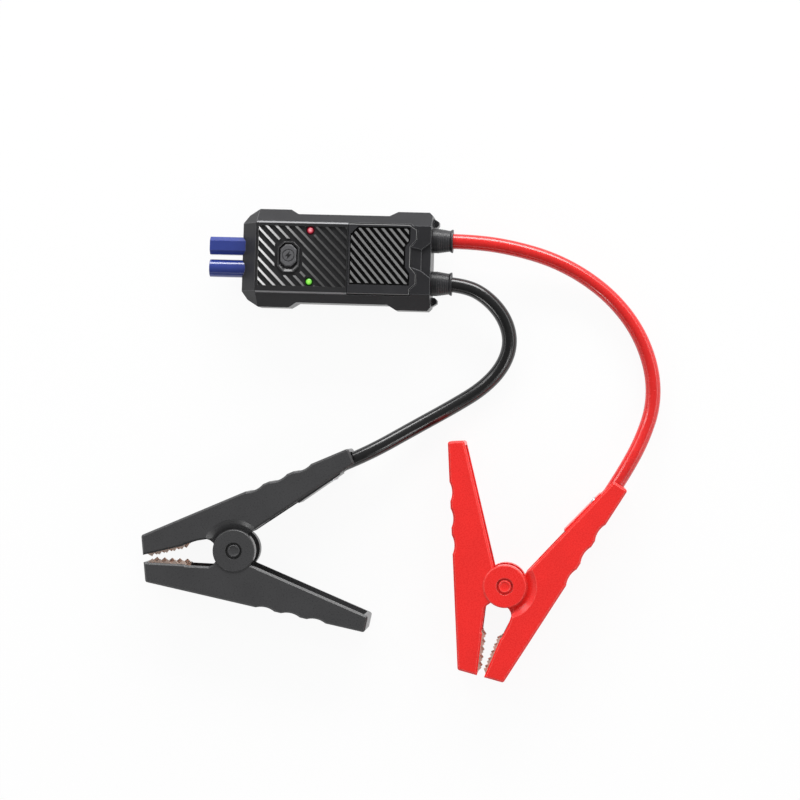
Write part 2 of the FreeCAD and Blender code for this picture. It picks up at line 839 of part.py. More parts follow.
def right_field(inset):
    """The ribbed panel's recess, or a smaller outline inside it that ends its ribs."""
    left, low = f"right_field_start + {inset} / 2", f"-face_half + right_low_rim + {inset}"
    top, right = f"face_half - right_top_rim - {inset}", f"right_panel_end - right_rim - {inset}"
    return [
        (left, low), (left, f"{top} - right_field_cut"), (f"{left} + right_field_cut", top), (right, top),
        (right, "notch_y + right_tooth_inner - 0.5"),
        (f"{right} - 0.75 * right_notch", "notch_y + right_notch_half"),
        (f"{right} - 0.75 * right_notch", "notch_y - right_notch_half - 0.4"),
        (right, "notch_y - right_tooth_inner"), (right, low),
    ]


def make_panels():
    seat_half = "(face_half + panel_bevel)"
    half = value(seat_half)
    left_points = box_outline("-face_left + panel_gap", "left_panel_end", f"-{seat_half}", seat_half)
    left_field = box_outline("-face_left + panel_gap + left_panel_rim", "left_panel_end - left_panel_rim / 2",
                             "-face_half + panel_low_rim", "face_half - panel_top_rim")
    plate = panel_plate("control_plate", left_points, half)
    space = field_prism("control_field", left_field, "left_field_depth", "1")
    trim = field_prism("control_trim", left_field, "left_field_depth")
    ribs = rib_field("control", LEFT_RIBS, "left_rib_pitch", "left_rib_wide", "left_rib_angle",
                     "left_field_depth", "-face_left - left_rib_start", trim)
    collar = body("control_collar")
    shape_pad(collar, "collar", bezel_outline("bezel_clear"), "panel_thick * 4",
              level="case_height - 2 * panel_thick")
    rings = [
        rod(f"lamp_ring_{i}", "lamp_ring + 0.4", "panel_thick * 4",
            ("lamp_x", f"button_y + {side} * lamp_y", "case_height - 2 * panel_thick"))
        for i, side in enumerate((1, -1))
    ]
    ribs_kept = cut("control_ribs_kept", ribs, fused("control_clear", [collar] + rings))
    hole = body("control_holes")
    shape_pad(hole, "button", bezel_outline("0.05"), "panel_thick * 4",
              level="case_height - 2 * panel_thick")
    holes = [hole] + [
        rod(f"lamp_hole_{i}", "lamp_radius + lamp_gap", "panel_thick * 4",
            ("lamp_x", f"button_y + {side} * lamp_y", "case_height - 2 * panel_thick"))
        for i, side in enumerate((1, -1))
    ]
    bare = cut("control_bare", plate, space)
    panel = cut("control_panel", fused("control_joined", [bare, ribs_kept]), fused("control_hole_set", holes))
    keep(panel, "control_panel")

    right_points = [
        ("left_panel_end + panel_gap", f"-{seat_half}"), ("left_panel_end + panel_gap", seat_half),
        ("right_panel_end - right_notch", seat_half), *zigzag("right_panel_end"),
        ("right_panel_end - right_notch", f"-{seat_half}"),
    ]
    plate = panel_plate("rib_plate", right_points, half, value("right_panel_end - right_notch"))
    space = field_prism("rib_space", right_field("0"), "right_field_depth", "1")
    trim = field_prism("rib_trim", right_field("right_rib_margin"), "right_field_depth")
    ribs = rib_field("end", RIGHT_RIBS, "right_rib_pitch", "right_rib_wide", "right_rib_angle",
                     "right_field_depth", "right_field_start - right_rib_start", trim)
    keep(fused("rib_panel", [cut("rib_bare", plate, space), ribs]), "rib_panel")


def make_button():
    bezel = body("button_bezel")
    ring = shape_pad(bezel, "ring", bezel_outline(), "left_field_depth + bezel_proud",
                     level="case_height - left_field_depth")
    crown = faces_at(ring, lambda f: is_flat(f, UP, value("case_height + bezel_proud")))
    bevel(bezel, ring, crown, "bezel_bevel")
    shape_pad(bezel, "skirt", bezel_outline("-0.2"), "panel_thick - left_field_depth",
              level="case_height - panel_thick")
    wide = "button_wide / 2 + button_gap"
    long = "button_long / 2 + button_gap"
    shape_pocket(bezel, "opening", octagon(wide, long, low=f"{long} + bezel_low"), "case_height",
                 level="case_height + 1")
    funnel = shape_pocket(bezel, "lip", bezel_outline("-lip_rim"), "lip_drop",
                          level="case_height + bezel_proud")
    bind(funnel, "TaperAngle", "-atan(lip_wide / lip_drop)")
    doc.recompute()
    keep(bezel, "button_bezel")

    button = body("power_button")
    top = "case_height + bezel_proud + button_proud"
    under = "(case_height - roof - 0.3 - button_flange_thick)"
    cap = shape_pad(button, "cap", octagon("button_wide / 2", "button_long / 2"),
                    f"{top} - {under}", level=under)
    crown = faces_at(cap, lambda f: is_flat(f, UP, value(top)))
    bevel(button, cap, crown, "0.4")
    shape_pad(button, "flange", octagon("button_wide / 2 + button_flange", "button_long / 2 + button_flange"),
              "button_flange_thick", level=under)
    plunger_level = "(board_top + plunger_top)"
    round_feature(button, "stem", "button_stem_radius", f"{under} - {plunger_level}",
                  ("button_x", "button_y", plunger_level))
    ring = sketch(button, "dish", level=top)
    circle(ring, "button_x", "button_y", "dish_radius")
    circle(ring, "button_x", "button_y", "dish_radius - dish_ring")
    pocket(button, ring, "dish_depth")
    keep(button, "power_button")

    case = body("tact_switch")
    box_feature(case, "case", ("switch_side", "switch_side", "switch_height"),
                ("button_x - switch_side / 2", "button_y - switch_side / 2", "board_top"))
    round_feature(case, "well", "plunger_radius + plunger_gap", "switch_height",
                  ("button_x", "button_y", "(board_top) + 0.6"), cut=True)
    keep(case, "tact_switch")
    keep(rod("switch_plunger", "plunger_radius", "plunger_top - 0.6 - button_travel - 0.3",
             ("button_x", "button_y", "(board_top) + 0.9 + button_travel")), "switch_plunger")


def make_lamps():
    flange_top = "(case_height - roof - 0.2)"
    for side, name in ((1, "red"), (-1, "green")):
        y = f"button_y + {side} * lamp_y"
        dome = doc.addObject("Part::Sphere", f"{name}_dome")
        bind(dome, "Radius", "lamp_radius")
        settle(dome, ("lamp_x", y, "case_height + 0.1 - lamp_radius"), UP)
        legs = [
            box(f"{name}_leg_{i}", ("lamp_leg", "lamp_leg", f"{flange_top} - 0.5 - (board_top)"),
                (f"lamp_x + {s} * lamp_leg_pitch / 2 - lamp_leg / 2", f"{y} - lamp_leg / 2", "board_top"))
            for i, s in enumerate((1, -1))
        ]
        barrel = rod(f"{name}_barrel", "lamp_radius", f"case_height + 0.1 - lamp_radius - {flange_top}",
                     ("lamp_x", y, flange_top))
        flange = rod(f"{name}_flange", "lamp_radius + lamp_flange", "1", ("lamp_x", y, f"{flange_top} - 1"))
        keep(fused(f"{name}_led", [dome, barrel, flange] + legs), f"{name}_led")


def make_board():
    board = body("circuit_board")
    box_feature(board, "board", ("board_left + board_right", "2 * board_half", "board_thick"),
                ("-board_left", "-board_half", "board_height"))
    for i, (x, y) in enumerate(post_places):
        round_feature(board, f"hole_{i}", "board_screw_radius + screw_gap", "board_thick + 2",
                      (x, y, "board_height - 1"), cut=True)
    keep(board, "circuit_board")
    keep(box("power_relay", ("relay_long", "relay_wide", "relay_height"),
             ("relay_x - relay_long / 2", "-relay_wide / 2", "board_top")), "power_relay")
    transistors = [
        box(f"transistor_{i}_{j}", ("transistor_long", "transistor_wide", "transistor_height"),
            (f"transistor_x + {i} * transistor_pitch / 2 - transistor_long / 2",
             f"{j} * transistor_y - transistor_wide / 2", "board_top"))
        for i in (-1, 1) for j in (-1, 1)
    ]
    keep(group("power_transistors", transistors), "power_transistors")
    keep(box("controller_chip", ("chip_side", "chip_side", "chip_height"),
             ("lamp_x - chip_side / 2", "-chip_side / 2", "board_top")), "controller_chip")
    sounder = body("buzzer")
    round_feature(sounder, "case", "buzzer_radius", "buzzer_height", ("buzzer_x", "0", "board_top"))
    round_feature(sounder, "port", "buzzer_port", "1.2",
                  ("buzzer_x", "0", "(board_top) + buzzer_height - 1"), cut=True)
    keep(sounder, "buzzer")
    cans = [
        rod(f"capacitor_{i}_{j}", "capacitor_radius", "capacitor_height",
            (f"capacitor_x + {i} * capacitor_pitch", f"{j} * capacitor_y", "board_top"))
        for i in (0, 1) for j in (-1, 1)
    ]
    keep(group("filter_capacitors", cans), "filter_capacitors")
    screws = []
    for i, (x, y) in enumerate(post_places):
        screws.append(fused(f"board_screw_{i}", [
            rod(f"board_screw_head_{i}", "board_screw_head", "board_screw_head_thick", (x, y, "board_top")),
            rod(f"board_screw_shank_{i}", "board_screw_radius", "board_screw_long - 1 + board_thick",
                (x, y, "board_height - board_screw_long + 1")),
        ]))
    keep(group("board_screws", screws), "board_screws")
    screws = []
    for i, (x, y) in enumerate(case_screw_places):
        screws.append(fused(f"case_screw_{i}", [
            rod(f"case_screw_head_{i}", "case_screw_head", "case_screw_head_thick", (x, y, "0.6")),
            rod(f"case_screw_shank_{i}", "case_screw_radius", "case_screw_depth - 0.6", (x, y, "0.6")),
        ]))
    keep(group("case_screws", screws), "case_screws")


def make_plug():
    plug = body("plug_housing")
    front = "plug_front"
    box_feature(plug, "block", ("-plug_back - (plug_start)", "2 * plug_half", "plug_tall"),
                ("plug_start", "-plug_half", "case_split - plug_tall / 2"))
    tube_long = "plug_start - (plug_front) + 1"
    round_feature(plug, "round_tube", "tube_radius", tube_long,
                  (front, "-tube_pitch / 2", "case_split"), V(1, 0, 0))
    shape_pad(plug, "flat_tube", flat_tube("tube_radius"), tube_long, plane="YZ", level=front)
    for side, name in ((1, "positive"), (-1, "negative")):
        y = f"{side} * tube_pitch / 2"
        round_feature(plug, f"{name}_bore", "contact_radius + plug_gap / 3", "tube_reach + case_left",
                      ("plug_front - 1", y, "case_split"), V(1, 0, 0), cut=True)
        contact = body(f"plug_contact_{name}")
        mouth = "plug_front + contact_recess"
        round_feature(contact, "barrel", "contact_radius", f"-contact_back - ({mouth})",
                      (mouth, y, "case_split"), V(1, 0, 0))
        round_feature(contact, "bore", "contact_bore", "contact_bore_deep + 1",
                      (f"{mouth} - 1", y, "case_split"), V(1, 0, 0), cut=True)
        keep(contact, f"plug_contact_{name}")
        bar = fused(f"{name}_busbar", [
            box(f"{name}_tab",
                ("busbar_thick", "2 * contact_radius", "case_split + contact_radius - (board_top)"),
                ("-contact_back", f"{y} - contact_radius", "board_top")),
            box(f"{name}_strip", ("contact_back + relay_x - relay_long / 2", "busbar_wide", "busbar_thick"),
                ("-contact_back", f"{side} * busbar_y - busbar_wide / 2", "board_top")),
        ])
        keep(bar, f"{name}_busbar")
    keep(plug, "plug_housing")


def make_gland(name, side):
    """A rubber strain relief turned about the cable: flange, neck in the wall, waisted sleeve, rim."""
    relief = body(f"{name}_strain_relief")
    inner = "case_right - case_wall"
    end = "relief_end"
    drawing = sketch(relief, "profile", plane="XY", level="case_split")
    y = f"{side} * gland_pitch / 2"

    def out(radius):
        return f"{y} + {radius}"
    hole = "cable_radius + gland_gap"
    outline(drawing, [
        (f"{inner} - gland_gap - gland_flange_thick", out(hole)),
        (f"{inner} - gland_gap - gland_flange_thick", out("gland_flange")),
        (f"{inner} - gland_gap", out("gland_flange")),
        (f"{inner} - gland_gap", out("gland_neck")),
        ("case_right + gland_gap", out("gland_neck")),
        ("case_right + gland_gap", out("gland_shoulder")),
        ("case_right + gland_shoulder_long", out("gland_shoulder")),
        (f"{end} - gland_rim_long", out("gland_waist")),
        (f"{end} - gland_rim_long * 0.4", out("gland_rim")),
        (end, out("gland_rim")),
        (end, out(hole)),
    ])
    turn = relief.newObject("PartDesign::Revolution", f"{name}_relief_turn")
    turn.Profile = drawing
    axis = sketch(relief, "axis", plane="XY", level="case_split")
    line = axis.addGeometry(Part.LineSegment(V(0, value(y), 0), V(value(end), value(y), 0)), False)
    axis.addConstraint(Sketcher.Constraint("Horizontal", line))
    pin_point(axis, line, 1, "0", y)
    turn.ReferenceAxis = (axis, ["Edge1"])
    turn.Angle = 360
    doc.recompute()
    keep(relief, f"{name}_strain_relief")

    start = "lug_end"
    keep(rod(f"{name}_cable_case_end", "cable_radius", f"{end} - cable_inside_gland - {start}",
             (start, y, "case_split"), V(1, 0, 0)), f"{name}_cable_case_end")
    lug = fused(f"{name}_output_lug", [
        rod(f"{name}_lug_barrel", "case_lug_radius", "case_lug_long",
            ("lug_end - case_lug_long", y, "case_split"), V(1, 0, 0)),
        box(f"{name}_lug_riser", ("case_lug_thick", "case_lug_wide", "case_split - (board_top)"),
            ("lug_end - case_lug_long", f"{y} - case_lug_wide / 2", "board_top")),
        box(f"{name}_lug_tongue", ("case_lug_tongue", "case_lug_wide", "case_lug_thick"),
            ("lug_end - case_lug_long - case_lug_tongue + 0.5", f"{y} - case_lug_wide / 2", "board_top")),
    ])
    keep(lug, f"{name}_output_lug")


# Clamps. Points of an arm: along its straight outer edge from the tip, and inwards from that edge.
def edge_point(along, inward):
    x = f"-jaw_reach + ({along}) * cos(outer_angle) + ({inward}) * sin(outer_angle)"
    y = f"mouth_half + tip_height + ({along}) * sin(outer_angle) - ({inward}) * cos(outer_angle)"
    return x, y


def jaw_point(along, inward):
    """Along the mouth's edge from the tip, and into the arm from it."""
    x = f"-jaw_reach + ({along}) * cos(jaw_angle) - ({inward}) * sin(jaw_angle)"
    y = f"mouth_half + ({along}) * sin(jaw_angle) + ({inward}) * cos(jaw_angle)"
    return x, y


def turned(angle):
    return V(math.cos(math.radians(angle)), math.sin(math.radians(angle)), 0)


def arm_outline(throat):
    points = [
        jaw_point("0", "0"),
        ("-jaw_reach", "mouth_half + tip_height"),
    ]
    for i in range(SCALLOPS):
        start = f"scallop_start + {i} * scallop_pitch"
        points.append(edge_point(start, "0"))
        points.append((*edge_point(f"{start} + scallop_wide", "0"), "scallop_wide", "scallop_deep"))
    points.append(edge_point("outer_long", "0"))
    points.append(edge_point("outer_long", "end_width"))
    return points + throat


def inner_edge_point(x):
    """A point of the handle's inner edge, which runs from the handle's end towards the pin."""
    end_x, end_y = edge_point("outer_long", "end_width")
    return x, f"{end_y} - ({end_x} - ({x})) * tan(inner_angle)"


def make_arm(name, throat, open_end):
    """An arm's blank: a thick outline with rounded corners and bevelled rims, hollowed from inside."""
    arm = body(name)
    drawing = sketch(arm, "outline")
    outline(drawing, arm_outline(throat))
    blank = pad(arm, drawing, "clamp_thick", symmetric=True)
    corners = [
        ("-jaw_reach", "mouth_half + tip_height"),
        edge_point("outer_long", "0"),
        edge_point("outer_long", "end_width"),
    ]
    names = []
    for x, y in corners:
        names += edges_at(blank, standing_at(value(x), value(y)))
    blank = rounded(arm, blank, names, "arm_corner")
    half = value("clamp_thick / 2")
    rims = faces_at(blank, lambda f: is_flat(f, UP, half) or is_flat(f, -UP, half))
    bevel(arm, blank, rims, "arm_bevel")
    reach = "outer_long + 5" if open_end else "outer_long - end_wall"
    left_y = "mouth_half + tip_height + tip_wall * tan(outer_angle) - back_wall / cos(outer_angle)"
    shape_pocket(arm, "channel", [
        ("-jaw_reach + tip_wall", left_y), edge_point(reach, "back_wall"),
        edge_point(reach, "46"), ("-jaw_reach + tip_wall", "-3"),
    ], "clamp_thick - 2 * cheek", symmetric=True)
    for i in range(2):
        middle = rivet_places(False)[i]
        root = f"tip_height + ({middle}) * tan(outer_angle - jaw_angle) - back_wall / 2"
        shape_pad(arm, f"post_{i}", [
            jaw_point(f"{middle} - post_long / 2", "web_depth"),
            jaw_point(f"{middle} - post_long / 2", root),
            jaw_point(f"{middle} + post_long / 2", root),
            jaw_point(f"{middle} + post_long / 2", "web_depth"),
        ], "2 * post_half", symmetric=True)
        x, y = jaw_point(middle, "web_depth - 1")
        round_feature(arm, f"rivet_hole_{i}", "rivet_radius + rivet_gap", "rivet_deep + 1.2",
                      (x, y, "0"), turned(90 + value("jaw_angle")), cut=True)
    return arm


def both_faces(make):
    """Runs make for the clamp's upper and lower face: a sign and the direction that it looks."""
    for sign, direction in ((1, UP), (-1, -UP)):
        make(sign, direction)


def make_free_arm(name):
    arm = make_arm(f"{name}_free_arm", [
        inner_edge_point("6.5"),
        ("-6", "throat_y - 2.4"),
        ("-disc_radius + 1", "throat_y - 2.4"),
        ("-disc_radius - 0.9", "throat_y - 0.8"),
        ("-throat_x", "throat_y - 0.2"),
        jaw_point("jaw_edge", "0.4"),
        jaw_point("jaw_edge - 0.6", "0"),
    ], open_end=False)

    def ear(sign, direction):
        low = "clamp_thick / 2 - cheek"
        tag = "top" if sign > 0 else "low"
        round_feature(arm, f"disc_{tag}", "disc_radius", "cheek + disc_proud",
                      ("0", "0", f"{sign} * ({low})"), direction)
        rim = value("clamp_thick / 2 + disc_proud")
        bevel(arm, arm.Tip, edges_at(arm.Tip, lambda e: disc_rim(e, sign * rim)), "0.4")
        round_feature(arm, f"recess_{tag}", "recess_radius", "recess_deep + 1",
                      ("0", "0", f"{sign} * (clamp_thick / 2 + disc_proud - recess_deep)"),
                      direction, cut=True)
    both_faces(ear)
    round_feature(arm, "pin_hole", "pin_radius + pin_gap", "clamp_thick + 4",
                  ("0", "0", "-clamp_thick / 2 - 2"), cut=True)
    return arm


def disc_rim(edge, height):
    if not isinstance(edge.Curve, Part.Circle):
        return False
    level = abs(edge.Curve.Center.z - height) < 1e-4
    return level and abs(edge.Curve.Radius - value("disc_radius")) < 1e-4


def make_cable_arm(name):
    arm = make_arm(f"{name}_cable_arm", [
        inner_edge_point("9"),
        ("-throat_x", "throat_y"),
        ("-throat_x - 4.5", "throat_y - 0.3"),
        jaw_point("jaw_edge", "0.4"),
        jaw_point("jaw_edge - 0.6", "0"),
    ], open_end=True)
    shape_pad(arm, "ear_root", [
        inner_edge_point("9"), inner_edge_point("boss_reach - 1"), ("boss_reach * 0.8", "boss_reach + 4.5"),
        ("0", "boss_reach + 4.5"), ("-boss_reach * 0.8", "boss_reach - 1"),
        ("-boss_reach", "throat_y"), ("-throat_x", "throat_y"),
        ("-disc_radius - 1.2", "throat_y - 0.7"), ("-disc_radius + 0.1", "throat_y - 1.9"),
        ("-disc_radius + 0.9", "throat_y - 3.5"),
    ], "clamp_thick - 2 * cheek", symmetric=True)
    ring = sketch(arm, "ear_disc")
    circle(ring, "0", "0", "disc_radius")
    pad(arm, ring, "clamp_thick - 2 * cheek", symmetric=True)
    shape_pocket(arm, "ear_space", [
        edge_point("(jaw_reach - boss_reach - 4) / cos(outer_angle)", "back_wall"),
        edge_point("(jaw_reach + boss_reach + 4) / cos(outer_angle)", "back_wall"),
        ("boss_reach + 4", "-disc_radius - 2"), ("-boss_reach - 1", "-disc_radius - 2"),
    ], "2 * ear_inner", symmetric=True)

    def flare(sign, direction):
        tag = "top" if sign > 0 else "low"
        cone_feature(arm, f"flare_{tag}", "disc_radius + cone_gap", "cone_radius",
                     "clamp_thick / 2 - (ear_outer)", ("0", "0", f"{sign} * (ear_outer)"), direction)
    both_faces(flare)
    round_feature(arm, "pin_hole", "pin_radius + pin_gap", "clamp_thick + 4",
                  ("0", "0", "-clamp_thick / 2 - 2"), cut=True)
    inward = turned(value("outer_angle") - 90)
    for sign in (1, -1):
        x, y = edge_point("outer_long - saddle_screw_inset", "0.8")
        tag = "top" if sign > 0 else "low"
        round_feature(arm, f"saddle_hole_{tag}", "saddle_screw_radius + screw_gap / 2", "back_wall",
                      (x, y, f"{sign} * saddle_screw_z"), inward, cut=True)
    return arm


def make_jaw(name, with_tail):
    """A copper plate bent to a U: two toothed sides and a web between them."""
    jaw = body(name)
    start = "jaw_start"
    points = [jaw_point(f"{start} + web_depth * tan(jaw_angle)", "web_depth")]
    points.append(jaw_point(start, "0"))
    for i in range(TEETH):
        points.append(jaw_point(f"{start} + {i + 0.5} * tooth_pitch", "-tooth_height"))
        points.append(jaw_point(f"{start} + {i + 1} * tooth_pitch", "0"))
    points.append(jaw_point(f"{start} + jaw_long", "web_depth"))
    side = "(clamp_thick / 2 - cheek - jaw_side_gap)"
    shape_pad(jaw, "sides", points, f"2 * {side}", symmetric=True)
    shape_pocket(jaw, "between", [
        jaw_point("0", "web_depth - copper"), jaw_point("jaw_edge + 8", "web_depth - copper"),
        jaw_point("jaw_edge + 8", "-5"), jaw_point("0", "-5"),
    ], f"2 * ({side} - copper)", symmetric=True)
    if with_tail:
        tail = f"{start} + jaw_long"
        shape_pad(jaw, "tail", [
            jaw_point(f"{tail} - 1", "web_depth - copper"),
            jaw_point(f"{tail} - 1", "web_depth"),
            jaw_point(f"{tail} + tail_long", "web_depth"),
            jaw_point(f"{tail} + tail_long", "web_depth - copper"),
        ], "2 * tail_half", symmetric=True)
    for i, middle in enumerate(rivet_places(with_tail)):
        x, y = jaw_point(middle, "web_depth - copper - 1")
        round_feature(jaw, f"rivet_hole_{i}", "rivet_radius + rivet_gap", "copper + 2",
                      (x, y, "0"), turned(90 + value("jaw_angle")), cut=True)
    return jaw


def rivet_places(with_tail):
    places = ["jaw_start + rivet_front", "jaw_end - rivet_back"]
    if with_tail:
        places.append("jaw_end + tail_long - tail_rivet")
    return places


def make_rivets(name, with_tail):
    rivets = []
    upright = turned(90 + value("jaw_angle"))
    for i, middle in enumerate(rivet_places(with_tail)):
        x, y = jaw_point(middle, "web_depth - copper - rivet_head_thick")
        parts = [rod(f"{name}_head_{i}", "rivet_head", "rivet_head_thick", (x, y, "0"), upright)]
        through = "copper + strap_thick" if i == 2 else "rivet_deep + copper"
        parts.append(rod(f"{name}_shank_{i}", "rivet_radius", f"rivet_head_thick + {through}",
                         (x, y, "0"), upright))
        if i == 2:
            x, y = jaw_point(middle, "web_depth + strap_thick")
            parts.append(rod(f"{name}_tail_{i}", "rivet_head * 0.85", "rivet_head_thick",
                             (x, y, "0"), upright))
        rivets.append(fused(f"{name}_{i}", parts))
    return group(name, rivets)


def make_lug(name):
    """The crimp barrel on the cable and the copper strap that runs along the arm to the jaw."""
    along = turned(value("outer_angle"))
    x, y = edge_point("outer_long - lug_inset - lug_long", "back_wall + cable_radius + cable_gap")
    barrel = rod(f"{name}_barrel", "cable_radius", "lug_long", (x, y, "0"), along)
    tail = "jaw_end"
    strap = body(f"{name}_strap")
    shape_pad(strap, "strip", [
        jaw_point(f"{tail} + 0.8", "web_depth"),
        jaw_point(f"{tail} + 0.8", "web_depth + strap_thick"),
        jaw_point(f"{tail} + tail_long - 0.6", "web_depth + strap_thick"),
        edge_point("strap_bend", "back_wall"),
        edge_point("outer_long - lug_inset - lug_long + 1", "back_wall"),
        edge_point("outer_long - lug_inset - lug_long + 1", "back_wall + strap_thick"),
        edge_point("strap_bend + 1", "back_wall + strap_thick"),
        jaw_point(f"{tail} + tail_long + 0.3", "web_depth"),
    ], "2 * strap_half", symmetric=True)
    x, y = jaw_point(rivet_places(True)[2], "web_depth - 1")
    round_feature(strap, "rivet_hole", "rivet_radius + rivet_gap", "strap_thick + 2",
                  (x, y, "0"), turned(90 + value("jaw_angle")), cut=True)
    return fused(name, [barrel, strap])


def make_saddle(name):
    """The block that straddles the cable and closes the channel over it."""
    saddle = body(name)
    axis_in = "(back_wall + cable_radius + cable_gap)"
    inner_start = "(end_width + saddle_start * tan(inner_angle - outer_angle) + saddle_proud)"
    inner_end = "(end_width + saddle_end * tan(inner_angle - outer_angle) + saddle_proud - saddle_drop)"
    shape_pad(saddle, "block", [
        edge_point("outer_long - saddle_start", "back_wall + cable_gap"),
        edge_point("outer_long - saddle_end", "back_wall + cable_gap"),
        edge_point("outer_long - saddle_end", inner_end),
        edge_point("outer_long - saddle_start", inner_start),
    ], "clamp_thick - 2 * cheek - 2 * saddle_side_gap", symmetric=True)
    shape_pocket(saddle, "groove", [
        edge_point("outer_long - saddle_start - 2", "back_wall - 1"),
        edge_point("outer_long - saddle_end + 2", "back_wall - 1"),
        edge_point("outer_long - saddle_end + 2", axis_in),
        edge_point("outer_long - saddle_start - 2", axis_in),
    ], "2 * (cable_radius + cable_gap)", symmetric=True)
    x, y = edge_point("outer_long - saddle_start - 2", axis_in)
    round_feature(saddle, "cable_hole", "cable_radius + cable_gap", "saddle_start + 2",
                  (x, y, "0"), turned(value("outer_angle")), cut=True)
    inward = turned(value("outer_angle") - 90)
    for sign in (1, -1):
        x, y = edge_point("outer_long - saddle_screw_inset", "0")
        tag = "top" if sign > 0 else "low"
        round_feature(saddle, f"screw_hole_{tag}", "saddle_screw_radius + screw_gap / 2", "4 * end_width",
                      (x, y, f"{sign} * saddle_screw_z"), inward, cut=True)
        x, y = edge_point("outer_long - saddle_screw_inset", "saddle_seat_level")
        round_feature(saddle, f"screw_seat_{tag}", "saddle_screw_head + 0.3", "4 * end_width",
                      (x, y, f"{sign} * saddle_screw_z"), inward, cut=True)
    return saddle


def make_saddle_screws(name):
    screws = []
    inward = turned(value("outer_angle") - 90)
    face = "(saddle_seat_level)"
    for i, sign in enumerate((1, -1)):
        z = f"{sign} * saddle_screw_z"
        x, y = edge_point("outer_long - saddle_screw_inset", "0.9")
        shank = rod(f"{name}_shank_{i}", "saddle_screw_radius", f"{face} - 0.9", (x, y, z), inward)
        x, y = edge_point("outer_long - saddle_screw_inset", face)
        head = rod(f"{name}_head_{i}", "saddle_screw_head", "saddle_screw_head_thick", (x, y, z), inward)
        screws.append(fused(f"{name}_{i}", [shank, head]))
    return group(name, screws)


def tangent_biarc(p0, t0, p1, t1):
    """Two arcs that join two points and their directions smoothly."""
    gap, both = p1 - p0, t0 + t1
    bend = 2 * (1 - t0.dot(t1))
    across = gap.dot(both)
    if bend < 1e-9:
        reach = gap.dot(gap) / (2 * across)
    else:
        reach = (-across + math.sqrt(across ** 2 + bend * gap.dot(gap))) / bend
    first, second = p0 + t0 * reach, p1 - t1 * reach
    middle = (first + second) * 0.5
    return [arc_towards(p0, first, middle), arc_towards(middle, second, p1)]


def arc_towards(start, corner, end):
    """The arc from start to end whose end tangents meet at corner."""
    half = (start + end) * 0.5
    rise = (corner - half).Length
    if rise < 1e-7:
        return Part.LineSegment(start, end).toShape()
    lean = math.atan2(rise, (end - start).Length / 2)
    top = half + (corner - half).normalize() * ((end - start).Length / 2 * math.tan(lean / 2))
    return Part.Arc(start, top, end).toShape()


def least_gap(path, step, apart):
    """The least distance between points of a path that lie more than apart along it."""
    count = max(2, round(path.Length / step))
    points = path.discretize(Number=count)
    skip = round(apart / step)
    return min(
        points[i].distanceToPoint(points[j])
        for i in range(len(points)) for j in range(i + skip, len(points))
    )


def make_spring(name):
    """The torsion spring: a clockwise coil round the pin with a leg into each arm."""
    wire, radius = value("wire_radius"), value("coil_radius")
    rise, lean = value("coil_height"), value("leg_angle")
    start = math.radians(180 + 90 - lean)
    stop = math.radians(180 - 90 + lean) - 2 * math.pi * value("coil_turns")
    steps = round((start - stop) / (math.pi / 2))
    flat = (start - stop) / steps
    slope_z = rise / (start - stop - 2 * flat)

    def at(angle):
        turned_by = start - angle
        z = -rise / 2 + slope_z * min(max(turned_by - flat, 0), start - stop - 2 * flat)
        climb = slope_z if flat * 1.1 < turned_by < start - stop - flat * 1.1 else 0.0
        place = V(radius * math.cos(angle), radius * math.sin(angle), z)
        return place, V(radius * math.sin(angle), -radius * math.cos(angle), climb).normalize()
    wall = value("(mouth_half + tip_height) * cos(outer_angle) + jaw_reach * sin(outer_angle) - back_wall")
    spare = wall - wire - value("leg_gap")
    out = turned(lean)
    end_place, _ = at(stop)
    normal = turned(value("outer_angle") + 90)
    leg = (spare - end_place.dot(normal)) / out.dot(normal)
    begin_place, _ = at(start)
    angles = [start + (stop - start) * i / steps for i in range(steps + 1)]
    edges = [Part.LineSegment(begin_place + V(out.x, -out.y, 0) * leg, begin_place).toShape()]
    for a, b in zip(angles, angles[1:]):
        edges += tangent_biarc(*at(a), *at(b))
    edges.append(Part.LineSegment(end_place, end_place + out * leg).toShape())
    path = Part.Wire(edges)
    tip = begin_place + V(out.x, -out.y, 0) * leg
    section = Part.Wire([Part.Circle(tip, V(-out.x, out.y, 0), wire).toShape()])
    feature = doc.addObject("Part::Feature", name)
    feature.Shape = path.makePipeShell([section], True, False)
    print(name, "volume over section times length",
          round(feature.Shape.Volume / (math.pi * wire ** 2 * path.Length), 4))
    print(name, "least gap to itself", round(least_gap(path, 0.4, 3 * radius) - 2 * wire, 2))
    return feature


def make_pin(name):
    long = "2 * (clamp_thick / 2 + disc_proud - recess_deep + ear_gap + cap_grip)"
    pin = body(f"{name}_pivot_pin")
    round_feature(pin, "rod", "pin_radius", long, ("0", "0", f"-({long}) / 2"))
    caps = []
    for i, (sign, direction) in enumerate(((1, UP), (-1, -UP))):
        cap = body(f"{name}_cap_{i}")
        under = "(clamp_thick / 2 + disc_proud - recess_deep + ear_gap)"
        round_feature(cap, "disc", "cap_radius", "cap_thick", ("0", "0", f"{sign} * {under}"), direction)
        round_feature(cap, "socket", "pin_radius + pin_gap", "cap_grip + 0.05 + 1",
                      ("0", "0", f"{sign} * ({under} - 1)"), direction, cut=True)
        caps.append(cap)
    return pin, group(f"{name}_pivot_caps", caps)


